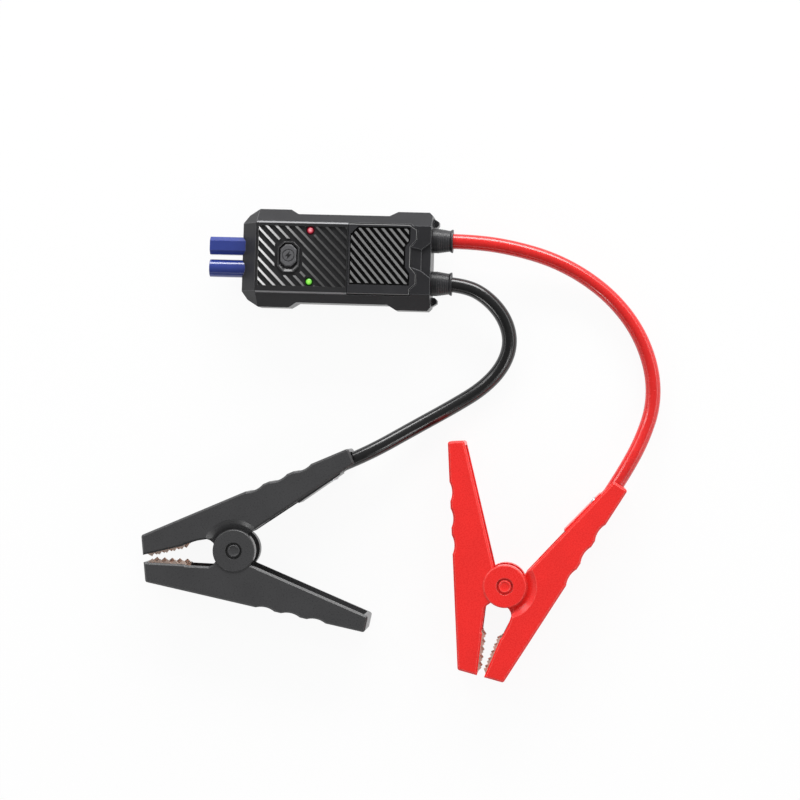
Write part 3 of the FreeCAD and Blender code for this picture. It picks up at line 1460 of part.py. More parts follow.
def make_clamp(name, flip):
    """All the pieces of one clamp, made at the pin and then laid where the clamp lies."""
    turn = FreeCAD.Rotation(UP, value(f"{name}_turn"))
    if flip:
        turn = turn * FreeCAD.Rotation(V(1, 0, 0), 180)
    rest = FreeCAD.Placement(V(value(f"{name}_pin_x"), value(f"{name}_pin_y"),
                               value("clamp_thick / 2 + disc_proud")), turn)
    mirror = FreeCAD.Placement(V(0, 0, 0), FreeCAD.Rotation(V(1, 0, 0), 180))
    pin, caps = make_pin(name)
    axis_in = "back_wall + cable_radius + cable_gap"
    x, y = edge_point("outer_long - lug_inset", axis_in)
    cable_end = body(f"{name}_cable_clamp_end")
    round_feature(cable_end, "rod", "cable_radius", "lug_inset - cable_inside_arm",
                  (x, y, "0"), turned(value("outer_angle")))
    cable_side = {
        "cable_arm": make_cable_arm(name),
        "pivot_pin": pin,
        "pivot_caps": caps,
        "torsion_spring": make_spring(f"{name}_torsion_spring"),
        "cable_jaw": make_jaw(f"{name}_cable_jaw", True),
        "cable_jaw_rivets": make_rivets(f"{name}_cable_jaw_rivets", True),
        "cable_lug": make_lug(f"{name}_cable_lug"),
        "cable_saddle": make_saddle(f"{name}_cable_saddle"),
        "saddle_screws": make_saddle_screws(f"{name}_saddle_screws"),
        "cable_clamp_end": cable_end,
    }
    free_side = {
        "free_arm": make_free_arm(name),
        "free_jaw": make_jaw(f"{name}_free_jaw", False),
        "free_jaw_rivets": make_rivets(f"{name}_free_jaw_rivets", False),
    }
    doc.recompute()
    for pieces, lay in ((cable_side, rest), (free_side, rest.multiply(mirror))):
        for piece, thing in pieces.items():
            thing.Placement = lay.multiply(thing.Placement)
            keep(thing, f"{name}_{piece}")
    return rest


def cable_tube(name, points):
    """A cable: straight runs joined by tangent arcs as large as the runs allow."""
    radius = value("cable_radius")
    points = [V(*p) for p in points]
    edges, place, radii = [], points[0], []
    for before, corner, after in zip(points, points[1:], points[2:]):
        come, go = corner - before, after - corner
        reach = 0.45 * min(come.Length, go.Length)
        half = come.getAngle(go) / 2
        radii.append(reach / math.tan(half))
        start = corner - come.normalize() * reach
        end = corner + go.normalize() * reach
        edges.append(Part.LineSegment(place, start).toShape())
        edges.append(arc_towards(start, corner, end))
        place = end
    edges.append(Part.LineSegment(place, points[-1]).toShape())
    path = Part.Wire(edges)
    first = points[1] - points[0]
    section = Part.Wire([Part.Circle(points[0], first, radius).toShape()])
    feature = doc.addObject("Part::Feature", name)
    feature.Shape = path.makePipeShell([section], True, False)
    runs = [(b - a).Length for a, b in zip(points, points[1:])]
    print(name, "length", round(path.Length, 1), "runs", [round(r, 1) for r in runs])
    print(name, "radii in diameters", [round(r / radius / 2, 1) for r in radii])
    print(name, "volume over section times length",
          round(feature.Shape.Volume / (math.pi * radius ** 2 * path.Length), 4))
    return keep(feature, name)


def make_cables(rests):
    for name, side, route in (("red", 1, RED_ROUTE), ("black", -1, BLACK_ROUTE)):
        y = side * value("gland_pitch / 2")
        z = value("case_split")
        start = (value("relief_end - cable_inside_gland"), y, z)
        axis_in = "back_wall + cable_radius + cable_gap"
        ends = []
        for out in ("9", "-cable_inside_arm"):
            x, y_end = edge_point(f"outer_long + {out}", axis_in)
            ends.append(tuple(rests[name].multVec(V(value(x), value(y_end), 0))))
        cable_tube(f"{name}_cable", [start] + route + ends)


make_bottom_cover()
make_top_cover()
make_panels()
make_button()
make_lamps()
make_board()
make_plug()
make_gland("red", 1)
make_gland("black", -1)
rests = {"black": make_clamp("black", False), "red": make_clamp("red", True)}
doc.recompute()
make_cables(rests)
doc.recompute()

# Checks before anything is written
for thing in doc.Objects:
    if "Invalid" in thing.State or "Error" in thing.State:
        raise RuntimeError(f"{thing.Name} failed: {thing.State}")
for label, thing in nodes.items():
    if thing.Shape.isNull() or not thing.Shape.isValid():
        raise RuntimeError(f"{label} has no valid shape")

os.makedirs("parts", exist_ok=True)
for label, thing in nodes.items():
    thing.Shape.exportStep(os.path.join("parts", f"{label}.step"))
print(len(nodes), "nodes written")
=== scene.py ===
# %% [markdown]
# # A jumper lead, dressed around fixed CAD parts
# The object is a control module with a two-tube battery plug, two cables and two spring clamps.
# The CAD gives every rigid shape. This lesson adds what CAD leaves plain: the cables as smooth
# curves, screws and rivets with real heads, wound springs, and a material for every part.
# Everything is in metres, in the CAD's own frame: +Z is up and the origin is under the module.

# %% Start from the CAD parts
import math

import bpy
from mathutils import Matrix, Vector


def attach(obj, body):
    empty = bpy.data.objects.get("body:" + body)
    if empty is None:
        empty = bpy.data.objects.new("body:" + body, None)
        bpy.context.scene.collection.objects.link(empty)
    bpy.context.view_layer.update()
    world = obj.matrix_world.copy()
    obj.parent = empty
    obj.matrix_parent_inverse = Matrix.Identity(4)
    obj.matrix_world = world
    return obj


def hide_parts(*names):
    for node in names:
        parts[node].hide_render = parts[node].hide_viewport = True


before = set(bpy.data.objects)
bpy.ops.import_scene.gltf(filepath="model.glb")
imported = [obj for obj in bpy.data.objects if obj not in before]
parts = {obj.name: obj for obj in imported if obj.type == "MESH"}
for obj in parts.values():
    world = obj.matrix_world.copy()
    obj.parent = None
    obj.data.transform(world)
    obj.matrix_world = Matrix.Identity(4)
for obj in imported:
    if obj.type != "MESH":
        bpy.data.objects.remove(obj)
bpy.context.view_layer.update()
MM = 0.001


def add_object(name, data):
    """A new object in the scene, around a mesh, curve, lamp or camera."""
    thing = bpy.data.objects.new(name, data)
    bpy.context.scene.collection.objects.link(thing)
    return thing



# %% [markdown]
# ## Camera
# The photograph looks almost straight down from about a metre, through a long lens. It leans 5
# degrees towards the cables' side and is turned by under 2 degrees. A camera could be aimed by
# hand, but these numbers come from fitting the module's and the clamps' corners, so edges fall in
# place.

# %% Camera
SENSOR = 36.0
PICTURE_PIXELS, FOCAL_PIXELS = 800, 2080
camera_data = bpy.data.cameras.new("camera")
camera_data.sensor_width = SENSOR
camera_data.lens = SENSOR * FOCAL_PIXELS / PICTURE_PIXELS
camera = add_object("camera", camera_data)
turn = Matrix((
    (0.99584947, -0.03015631, 0.08587449),
    (0.03053836, 0.99952867, -0.00313845),
    (-0.08573937, 0.00574789, 0.99630102),
))
camera.matrix_world = Matrix.Translation((0.11857, -0.07118, 1.03)) @ turn.to_4x4()
bpy.context.scene.camera = camera
bpy.context.scene.view_settings.view_transform = "Standard"
print("lens", round(camera_data.lens, 1), "mm")

# %% [markdown]
# ## Two small tools for materials
# People pick colours as hex codes, but shaders work on linear light, so one function
# converts them. A second one adds a node with its settings and links, which keeps every material
# readable as a list of what feeds what.

# %% Colour and node helpers
def colour(hex_code):
    """Linear colour, with alpha 1, of an sRGB hex code."""
    channels = [int(hex_code[i:i + 2], 16) / 255 for i in (1, 3, 5)]
    linear = [c / 12.92 if c <= 0.04045 else ((c + 0.055) / 1.055) ** 2.4 for c in channels]
    return (*linear, 1.0)


def add(tree, kind, inputs=None, **settings):
    """Adds a node. inputs maps a socket's name or number to a value or to another node's output."""
    node = tree.nodes.new(kind)
    for name, value in settings.items():
        setattr(node, name, value)
    for name, value in (inputs or {}).items():
        if isinstance(value, bpy.types.NodeSocket):
            tree.links.new(value, node.inputs[name])
        else:
            node.inputs[name].default_value = value
    return node


def new_material(name):
    """An empty material: its tree and its output node."""
    material = bpy.data.materials.new(name)
    material.use_nodes = True
    tree = material.node_tree
    tree.nodes.clear()
    return material, tree, add(tree, "ShaderNodeOutputMaterial")


# %% [markdown]
# ## Moulded plastic
# Most of this object is moulded. The tool's wall was spark-eroded, which leaves a fine even grain:
# the surface scatters light, and its gloss is broken up. Real grain is 0.1 to 0.2 mm, too fine for
# a picture in which a pixel is half a millimetre, so it is drawn 0.3 to 0.6 mm coarse to show at
# all. Polished and extruded pieces have no such depth, only a slow drift of tone over 2 mm or
# more. A photograph of such a wall would do, but noise has no seams and keeps its size on every
# part. Where two halves of a tool, or two covers, meet there is a faint line: `seam` is its
# height. The Bevel node rounds sharp edges in the shading alone, and where it bends the surface,
# the colour turns paler: a painted highlight along the edges.

# %% Moulded surfaces
CLOUD_MM = 14
SEAM_HALF_MM, SEAM_DEPTH = 0.15, 4.0


def moulded(name, base, grain_mm=0.5, depth_mm=0.02, rough=0.45, tone=0.08, level=0.5, seam=None,
            edge="#5A5A5C", edge_mm=0.3, wall_rough=None):
    """A moulded polymer. Returns its material, tree, shader, place in millimetres and the mask of
    its painted edge highlight.

    tone is how far the colour drifts, level the specular level, edge the colour of the painted
    highlight along edges, and edge_mm its width, with 0 for a piece that has no edges.
    """
    material, tree, output = new_material(name)
    place = add(tree, "ShaderNodeTexCoord").outputs["Object"]
    grain = add(tree, "ShaderNodeTexNoise", {
        "Vector": place, "Scale": 1 / (grain_mm * MM), "Detail": 3.0, "Roughness": 0.6})
    cloud = add(tree, "ShaderNodeTexNoise", {
        "Vector": place, "Scale": 1 / (CLOUD_MM * MM), "Detail": 2.0})
    both = add(tree, "ShaderNodeMath", {
        0: grain.outputs["Fac"], 1: cloud.outputs["Fac"]}, operation="ADD")
    shade = add(tree, "ShaderNodeMapRange", {
        "Value": both.outputs["Value"], "From Min": 0.75, "From Max": 1.25,
        "To Min": 1.0 - tone, "To Max": 1.0 + tone})
    tint = add(tree, "ShaderNodeMix", {
        "Factor": 1.0, "A": colour(base), "B": shade.outputs["Result"]},
        data_type="RGBA", blend_type="MULTIPLY")
    gloss = add(tree, "ShaderNodeMapRange", {
        "Value": grain.outputs["Fac"], "From Min": 0.3, "From Max": 0.7,
        "To Min": rough - 0.05, "To Max": rough + 0.05})
    height = grain.outputs["Fac"]
    millimetres = add(tree, "ShaderNodeVectorMath", {
        0: place, "Scale": 1 / MM}, operation="SCALE").outputs["Vector"]
    if seam is not None:
        level_at = add(tree, "ShaderNodeSeparateXYZ", {"Vector": millimetres}).outputs["Z"]
        line = add(tree, "ShaderNodeMath", {
            0: level_at, 1: seam, 2: SEAM_HALF_MM}, operation="COMPARE")
        cut = add(tree, "ShaderNodeMath", {
            0: line.outputs["Value"], 1: -SEAM_DEPTH}, operation="MULTIPLY")
        height = add(tree, "ShaderNodeMath", {
            0: height, 1: cut.outputs["Value"]}, operation="ADD").outputs["Value"]
    flat = add(tree, "ShaderNodeNewGeometry").outputs["Normal"]
    rounded, painted_edge_highlight = flat, None
    # Where the Bevel normal leaves the flat one, the colour turns towards edge: a painted highlight
    # along every sharp edge.
    if edge_mm:
        rounded = add(tree, "ShaderNodeBevel", {
            "Radius": edge_mm * MM}, samples=4).outputs["Normal"]
        agree = add(tree, "ShaderNodeVectorMath", {0: rounded, 1: flat}, operation="DOT_PRODUCT")
        painted_edge_highlight = add(tree, "ShaderNodeMapRange", {
            "Value": agree.outputs["Value"], "From Min": 0.995, "From Max": 0.96}).outputs["Result"]
        tint = add(tree, "ShaderNodeMix", {
            "Factor": painted_edge_highlight, "A": tint.outputs["Result"], "B": colour(edge)}, data_type="RGBA")
    if wall_rough is not None:
        # A standing wall slides along the tool as it opens, so toolmakers leave it smoother.
        upwards = add(tree, "ShaderNodeSeparateXYZ", {"Vector": flat}).outputs["Z"]
        lying = add(tree, "ShaderNodeMath", {0: upwards}, operation="ABSOLUTE")
        gloss = add(tree, "ShaderNodeMapRange", {
            "Value": lying.outputs["Value"], "From Min": 0.2, "From Max": 0.4,
            "To Min": wall_rough, "To Max": gloss.outputs["Result"]})
    bump = add(tree, "ShaderNodeBump", {
        "Height": height, "Distance": depth_mm * MM, "Strength": 1.0, "Normal": rounded})
    shader = add(tree, "ShaderNodeBsdfPrincipled", {
        "Base Color": tint.outputs["Result"], "Roughness": gloss.outputs["Result"],
        "Normal": bump.outputs["Normal"], "Specular IOR Level": level, "IOR": 1.5})
    tree.links.new(shader.outputs["BSDF"], output.inputs["Surface"])
    return material, tree, shader, millimetres, painted_edge_highlight


# The covers are black ABS, matt, so a low specular level. Their edges get a grey painted highlight.
case_abs = moulded("case_black_abs", "#28282A", 0.5, 0.03, 0.46, 0.16, 0.2, seam=12.5,
                   edge="#6C6C6E", edge_mm=0.4, wall_rough=0.3)[0]
# The bezel is the same resin from a polished tool, without grain, so it is shinier and darker.
bezel_abs = moulded("bezel_satin_abs", "#1A1A1C", 0.4, 0.0, 0.3, 0.0, 0.9, edge="#202022",
                    edge_mm=0.1)[0]
# The button is a separate grey moulding, a little smoother than the covers.
button_abs = moulded("button_grey_abs", "#58585A", 0.4, 0.01, 0.42, 0.07, 0.35)[0]
# Clamp arms are tough polypropylene, pigmented through, with a soft waxy sheen and a parting line.
clamp_black = moulded("clamp_black_polypropylene", "#3C3C3D", 0.6, 0.008, 0.3, 0.07, 0.45,
                      seam=11.5, edge="#3E3E3F", edge_mm=0.2)[0]
# Its pale pink edge colour is a painted highlight.
clamp_red = moulded("clamp_red_polypropylene", "#EC2A26", 0.6, 0.008, 0.28, 0.04, 0.45,
                    seam=11.5, edge="#FF6A64", edge_mm=0.4)[0]
# The plug is glass-filled nylon from a polished tool, so it is the glossiest plastic here.
# Its lighter blue edge colour is a painted highlight.
plug_nylon = moulded("plug_blue_nylon", "#2A3A86", 2.5, 0.0, 0.16, 0.04, 0.8, edge="#3C4C9C")[0]
# Strain reliefs are thermoplastic rubber: dull, with a grey painted highlight on their ridges.
relief_rubber = moulded("strain_relief_black_rubber", "#262628", 0.5, 0.02, 0.4, 0.1, 0.5,
                        edge="#505052")[0]
# Cable jackets are extruded silicone, smooth along the cable, with soft long highlights. They have
# no edges to round, so they do without the bevel, which would break up those highlights.
jacket_red = moulded("cable_red_silicone", "#D41511", 2.0, 0.0, 0.24, 0.04, 0.8, edge_mm=0)[0]
jacket_black = moulded("cable_black_silicone", "#060607", 2.0, 0.0, 0.24, 0.06, 0.7, edge_mm=0)[0]
print("moulded finishes:", [finish.name for finish in (
    case_abs, bezel_abs, button_abs, clamp_black, clamp_red, plug_nylon, relief_rubber,
    jacket_red, jacket_black)])

# %% [markdown]
# ## The two inlaid panels
# Both panels are ABS plates with slanting ribs that stand up from a sunken field. The ribs are
# what the eye sees first. On the left panel their colour is a painted reflection, near white at
# the left end and fading out towards the middle, and on the right one they are plain grey over a
# field that looks black. The ribs' tops lie 0.15 mm below the plate's rim, so a height band alone
# picks them out, and no mask is painted.

# %% Ribbed panels
RIBS_ABOVE_MM, RIM_ABOVE_MM = 24.6, 24.93
RAIL_FROM_MM = 16.62


def coloured_by_height(name, rim, rib_stops, field, rail=None, **finish):
    """A panel: field, ribs whose colour runs along X by stops of (x in mm, hex), and rim."""
    material, tree, shader, millimetres, edge_highlight_mask = moulded(name, rim, **finish)
    rim_tint = shader.inputs["Base Color"].links[0].from_socket
    split = add(tree, "ShaderNodeSeparateXYZ", {"Vector": millimetres})
    raised = add(tree, "ShaderNodeMath", {
        0: split.outputs["Z"], 1: RIBS_ABOVE_MM}, operation="GREATER_THAN")
    # The ribs' edges, under the painted edge highlight's mask, take the field's colour instead of
    # the ribs' painted reflection.
    raised = add(tree, "ShaderNodeMath", {
        0: raised.outputs["Value"], 1: edge_highlight_mask}, operation="SUBTRACT", use_clamp=True)
    topmost = add(tree, "ShaderNodeMath", {
        0: split.outputs["Z"], 1: RIM_ABOVE_MM}, operation="GREATER_THAN")
    first, last = rib_stops[0][0], rib_stops[-1][0]
    along = add(tree, "ShaderNodeMapRange", {
        "Value": split.outputs["X"], "From Min": first, "From Max": last})
    fade = add(tree, "ShaderNodeValToRGB", {"Fac": along.outputs["Result"]})
    stops = fade.color_ramp.elements
    while len(stops) < len(rib_stops):
        stops.new(0.5)
    for stop, (x, code) in zip(stops, rib_stops):
        stop.position = (x - first) / (last - first)
        stop.color = colour(code)
    ribbed = add(tree, "ShaderNodeMix", {
        "Factor": raised.outputs["Value"], "A": colour(field), "B": fade.outputs["Color"]},
        data_type="RGBA")
    plate = add(tree, "ShaderNodeMix", {
        "Factor": topmost.outputs["Value"], "A": ribbed.outputs["Result"], "B": rim_tint},
        data_type="RGBA")
    if rail:
        # The long edges are cut off by a bevel, and its bright colour, rail, is a painted
        # highlight.
        side = add(tree, "ShaderNodeMath", {0: split.outputs["Y"]}, operation="ABSOLUTE")
        edge = add(tree, "ShaderNodeMath", {
            0: side.outputs["Value"], 1: RAIL_FROM_MM}, operation="GREATER_THAN")
        plate = add(tree, "ShaderNodeMix", {
            "Factor": edge.outputs["Value"], "A": plate.outputs["Result"], "B": colour(rail)},
            data_type="RGBA")
    tree.links.new(plate.outputs["Result"], shader.inputs["Base Color"])
    return material


# The left ribs' fade from near white to dark grey is a painted reflection, rail is a painted
# highlight on the long bevels, and edge on both panels is the painted edge highlight.
left_panel_abs = coloured_by_height(
    "control_panel_satin_abs", "#2A2A2B",
    [(-40, "#E4E4E4"), (-30, "#B4B4B4"), (-20, "#767676"), (-10, "#4E4E4E"), (0, "#3E3E3E")],
    "#2A2A2B", rail="#8C8C8E", rough=0.4, level=0.2, tone=0.12, edge="#343435", edge_mm=0.15)
right_panel_abs = coloured_by_height(
    "rib_panel_satin_abs", "#303032", [(5, "#747474"), (38, "#7C7C7C")], "#040404",
    rough=0.45, level=0.15, tone=0.12, edge="#58585A", edge_mm=0.1)
print("panel finishes:", left_panel_abs.name, right_panel_abs.name)

# %% [markdown]
# ## Metals
# A metal has almost no colour of its own beyond its reflection, so its tone is the base colour and
# its making is in the roughness: rolled copper strip has fine lines, zinc plate a faint mottle,
# and drawn wire is smooth. All are Metallic 1, and their IOR stays at its default.

# %% Plated and rolled metals
def metal(name, base, rough, grain_mm, stretch=(1, 1, 1), tone=0.1, depth_mm=0.003):
    """A metal whose fine marks may be stretched along one axis, as rolling and brushing do."""
    material, tree, output = new_material(name)
    place = add(tree, "ShaderNodeTexCoord").outputs["Object"]
    turned = add(tree, "ShaderNodeMapping", {"Vector": place, "Scale": stretch})
    marks = add(tree, "ShaderNodeTexNoise", {
        "Vector": turned.outputs["Vector"], "Scale": 1 / (grain_mm * MM), "Detail": 4.0})
    shade = add(tree, "ShaderNodeMapRange", {
        "Value": marks.outputs["Fac"], "From Min": 0.3, "From Max": 0.7,
        "To Min": 1.0 - tone, "To Max": 1.0})
    tint = add(tree, "ShaderNodeMix", {
        "Factor": 1.0, "A": colour(base), "B": shade.outputs["Result"]},
        data_type="RGBA", blend_type="MULTIPLY")
    gloss = add(tree, "ShaderNodeMapRange", {
        "Value": marks.outputs["Fac"], "From Min": 0.3, "From Max": 0.7,
        "To Min": rough - 0.06, "To Max": rough + 0.08})
    bump = add(tree, "ShaderNodeBump", {
        "Height": marks.outputs["Fac"], "Distance": depth_mm * MM, "Strength": 1.0})
    shader = add(tree, "ShaderNodeBsdfPrincipled", {
        "Base Color": tint.outputs["Result"], "Roughness": gloss.outputs["Result"],
        "Normal": bump.outputs["Normal"], "Metallic": 1.0})
    tree.links.new(shader.outputs["BSDF"], output.inputs["Surface"])
    return material


# Jaws: rolled copper strip, stamped and bent. Bright and pink, with lines across the teeth.
jaw_copper = metal("rolled_copper", "#FFE8DA", 0.62, 0.4, (1, 1, 6))
# Screws, pins and rivet heads: steel with bright zinc plate.
zinc_steel = metal("zinc_plated_steel", "#C9CCD0", 0.3, 0.6)
# Springs: hard-drawn wire, plated and a little darker.
spring_wire = metal("spring_wire", "#A9ADB2", 0.24, 0.5, (1, 1, 3))
# Lugs, straps and busbars: copper dipped in tin, soft and cloudy.
tinned_copper = metal("tinned_copper", "#C6C8C9", 0.38, 0.9, tone=0.18)
# Plug contacts: brass turned on a lathe, with a thin gold flash.
gold_flash = metal("gold_flashed_brass", "#E2B65A", 0.2, 0.4, (6, 1, 1))
print("metals:", [finish.name for finish in (
    jaw_copper, zinc_steel, spring_wire, tinned_copper, gold_flash)])

# %% [markdown]
# ## Lamps that are lit
# Each indicator is a 4 mm lamp with a clear tinted dome. Lit from inside, it is almost white where
# the die sits, full colour around it and dark at its rim. Glass with a light inside would be true
# but noisy to render, so the dome glows by itself, with a glow that fades by distance from its
# axis.

# %% Lit lamp domes
LAMP_RADIUS = 2.0


def lit_dome(name, centre, core, glow, rim):
    """A glowing dome round centre, in mm: core, glow and rim are its colours going outwards."""
    material, tree, output = new_material(name)
    place = add(tree, "ShaderNodeTexCoord").outputs["Object"]
    moved = add(tree, "ShaderNodeMapping", {
        "Vector": place, "Location": (-centre[0] / LAMP_RADIUS, -centre[1] / LAMP_RADIUS, 0),
        "Scale": (1 / (LAMP_RADIUS * MM), 1 / (LAMP_RADIUS * MM), 0)})
    far = add(tree, "ShaderNodeVectorMath", {0: moved.outputs["Vector"]}, operation="LENGTH")
    fade = add(tree, "ShaderNodeValToRGB", {"Fac": far.outputs["Value"]})
    stops = fade.color_ramp.elements
    stops.new(0.5)
    for stop, (position, code) in zip(stops, ((0.12, core), (0.55, glow), (0.82, rim))):
        stop.position = position
        stop.color = colour(code)
    shader = add(tree, "ShaderNodeBsdfPrincipled", {
        "Base Color": colour(rim), "Roughness": 0.12, "IOR": 1.49,
        "Emission Color": fade.outputs["Color"], "Emission Strength": 1.0})
    tree.links.new(shader.outputs["BSDF"], output.inputs["Surface"])
    return material


lamp_red = lit_dome("red_lamp_epoxy", (-14.45, 13.3), "#FFAAB4", "#C01C38", "#2E060C")
lamp_green = lit_dome("green_lamp_epoxy", (-14.45, -11.7), "#B4FF6A", "#70DC3C", "#082006")
print("lamps:", lamp_red.name, lamp_green.name)

# %% [markdown]
# ## Inside the module
# The board and its parts are hidden until someone takes the covers apart, but they are real parts
# and get real finishes. The board is FR4 under green solder resist: copper tracks show through as
# paler lines on a 2.54 mm grid. Chips are black epoxy, and the capacitors wear a blue sleeve.

# %% Electronics
def resist_green():
    """Green solder resist over copper tracks."""
    material, tree, output = new_material("board_green_resist")
    place = add(tree, "ShaderNodeTexCoord").outputs["Object"]
    tracks = add(tree, "ShaderNodeTexBrick", {
        "Vector": place, "Scale": 1.0, "Brick Width": 5.08 * MM, "Row Height": 2.54 * MM,
        "Mortar Size": 0.3 * MM, "Color1": colour("#14512F"), "Color2": colour("#185C36"),
        "Mortar": colour("#2C7D4C")})
    bump = add(tree, "ShaderNodeBump", {
        "Height": tracks.outputs["Fac"], "Distance": 0.035 * MM, "Strength": 1.0})
    shader = add(tree, "ShaderNodeBsdfPrincipled", {
        "Base Color": tracks.outputs["Color"], "Roughness": 0.3, "Normal": bump.outputs["Normal"],
        "Coat Weight": 0.4, "Coat Roughness": 0.2})
    tree.links.new(shader.outputs["BSDF"], output.inputs["Surface"])
    return material


board_resist = resist_green()
chip_epoxy = moulded("black_moulding_epoxy", "#1B1B1C", 0.3, 0.01, 0.55, 0.12, 0.3)[0]
relay_pbt = moulded("relay_black_polyester", "#202124", 0.4, 0.01, 0.4, 0.06, 0.4)[0]
capacitor_sleeve = moulded("capacitor_blue_sleeve", "#24407A", 0.8, 0.004, 0.25, 0.06, 0.6)[0]
print("inside:", board_resist.name, chip_epoxy.name, relay_pbt.name, capacitor_sleeve.name)

# %% [markdown]
# ## Which part wears what
# The CAD parts already have their shape. Each one only gets its finish.

# %% Finishes of the CAD parts
finishes = {
    case_abs: ["top_cover", "bottom_cover"],
    left_panel_abs: ["control_panel"],
    right_panel_abs: ["rib_panel"],
    bezel_abs: ["button_bezel"],
    button_abs: ["power_button"],
    lamp_red: ["red_led"],
    lamp_green: ["green_led"],
    plug_nylon: ["plug_housing"],
    gold_flash: ["plug_contact_positive", "plug_contact_negative"],
    tinned_copper: ["positive_busbar", "negative_busbar", "red_output_lug", "black_output_lug",
                    "red_cable_lug", "black_cable_lug"],
    relief_rubber: ["red_strain_relief", "black_strain_relief"],
    board_resist: ["circuit_board"],
    chip_epoxy: ["power_transistors", "controller_chip", "buzzer", "tact_switch"],
    relay_pbt: ["power_relay", "switch_plunger"],
    capacitor_sleeve: ["filter_capacitors"],
    clamp_red: ["red_cable_arm", "red_free_arm", "red_cable_saddle"],
    clamp_black: ["black_cable_arm", "black_free_arm", "black_cable_saddle"],
    jacket_red: ["red_cable_case_end", "red_cable_clamp_end"],
    jacket_black: ["black_cable_case_end", "black_cable_clamp_end"],
    jaw_copper: ["red_cable_jaw", "red_free_jaw", "black_cable_jaw", "black_free_jaw"],
    zinc_steel: ["red_pivot_pin", "black_pivot_pin"],
}
for material, names in finishes.items():
    for name in names:
        parts[name].data.materials.clear()
        parts[name].data.materials.append(material)
print(sum(len(names) for names in finishes.values()), "parts finished")

# %% [markdown]
# ## Cables
# Each cable is fine copper strand in a 7.4 mm silicone jacket, so limp that it lies where it is
# put. It leaves its strain relief straight, sinks to the surface it lies on, and rises into its
# clamp. A swept mesh would work, but a NURBS curve of order 3 through a dozen points bends evenly,
# as rubber does, and its length can be measured.

# %% Cables
CABLE = 7.4
red_route = [
    (50.7, 10.5, 12.5), (66.0, 10.5, 12.5), (85.0, 8.0, 11.2), (104.0, 3.0, 8.4),
    (121.0, -5.5, 5.6), (135.5, -17.0, 4.1), (147.0, -32.0, 3.8), (153.9, -50.0, 3.8),
    (154.8, -67.0, 4.4), (150.0, -83.0, 7.2), (142.793, -97.573, 11.5), (136.613, -107.859, 11.5),
]
black_route = [
    (50.7, -10.5, 12.5), (62.0, -11.0, 12.5), (73.2, -17.2, 11.6), (81.4, -27.0, 9.4),
    (84.3, -38.5, 7.0), (80.6, -50.2, 5.0), (71.0, -61.0, 3.9), (56.6, -70.4, 3.8),
    (37.0, -82.0, 6.4), (17.555, -93.87, 11.5), (6.636, -98.846, 11.5),
]


def lay_cable(side, route, jacket, length):
    """A round cable on one smooth curve, whose control points are the route's."""
    curve = bpy.data.curves.new(f"{side}_cable_jacket", "CURVE")
    curve.dimensions = "3D"
    line = curve.splines.new("NURBS")
    line.points.add(len(route) - 1)
    for point, place in zip(line.points, route):
        point.co = (*(c * MM for c in place), 1.0)
    line.order_u = 3
    line.use_endpoint_u = True
    line.resolution_u = 12
    curve.bevel_depth = CABLE / 2 * MM
    curve.bevel_resolution = 8
    curve.use_fill_caps = True
    curve.materials.append(jacket)
    cable = add_object(f"{side}_cable_jacket", curve)
    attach(cable, "lead")
    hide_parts(f"{side}_cable")
    print(cable.name, len(route), "points,", length, "m")


lay_cable("red", red_route, jacket_red, 0.192)
lay_cable("black", black_route, jacket_black, 0.152)

# %% [markdown]
# ## Growing repeated pieces with Geometry Nodes
# Screws, rivets, caps and the rings of a strain relief repeat. Copies could be placed by a Python
# loop, but a node tree says the rule once, with named inputs. `new_tree` starts a tree, and `grow`
# runs it on a start mesh, keeps the result as a plain mesh and hands it to the body it rides on.

# %% Node tree helpers
def new_tree(name, **sockets):
    """A geometry tree with a geometry input, the named inputs and a geometry output."""
    tree = bpy.data.node_groups.new(name, "GeometryNodeTree")
    tree.interface.new_socket("Start", in_out="INPUT", socket_type="NodeSocketGeometry")
    for label, kind in sockets.items():
        tree.interface.new_socket(label, in_out="INPUT", socket_type=f"NodeSocket{kind}")
    tree.interface.new_socket("Result", in_out="OUTPUT", socket_type="NodeSocketGeometry")
    return tree, add(tree, "NodeGroupInput").outputs


def end_tree(tree, geometry, material):
    """Realizes what the tree made and gives it its material, which the export needs."""
    real = add(tree, "GeometryNodeRealizeInstances", {"Geometry": geometry})
    edge_highlight_mask = add(tree, "GeometryNodeSetMaterial", {
        "Geometry": real.outputs["Geometry"], "Material": material})
    add(tree, "NodeGroupOutput", {"Result": edge_highlight_mask.outputs["Geometry"]})


def grow(name, tree, start, body, slot, replaced=(), **values):
    """Runs a tree on a start mesh and keeps the result as a plain mesh."""
    source = add_object(f"{name}_start", start)
    modifier = source.modifiers.new("grow", "NODES")
    modifier.node_group = tree
    for socket in tree.interface.items_tree:
        if socket.in_out == "INPUT" and socket.name in values:
            modifier[socket.identifier] = values[socket.name]
    graph = bpy.context.evaluated_depsgraph_get()
    mesh = bpy.data.meshes.new_from_object(source.evaluated_get(graph))
    source.modifiers.remove(modifier)
    bpy.data.objects.remove(source)
    return set_piece(name, mesh, body, replaced)


def set_piece(name, mesh, body, replaced=()):
    """Puts a mesh in the scene as a finished piece that rides on a body."""
    mesh.name = name
    piece = add_object(name, mesh)
    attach(piece, body)
    if replaced:
        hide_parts(*replaced)
    print(name, len(mesh.polygons), "faces on", body)
    return piece


# %% [markdown]
# ## Turned models: screw, rivet and cap
# A turned piece is a profile spun about an axis. Spin from the modifiers would do for a plain
# rivet, but a screw's driver slot isn't round. So each ring is a list of radii, one per direction,
# and a ring may follow a cross instead of a circle. 24 directions hold the cross's corners
# exactly.

# %% Turned models
def cross_radius(angle, reach, half_width):
    """Distance from the axis to the edge of a cross-shaped slot, in one direction."""
    angle = abs((angle + math.pi / 4) % (math.pi / 2) - math.pi / 4)
    corner = math.atan2(half_width, reach)
    return reach / math.cos(angle) if angle <= corner + 1e-9 else half_width / math.sin(angle)


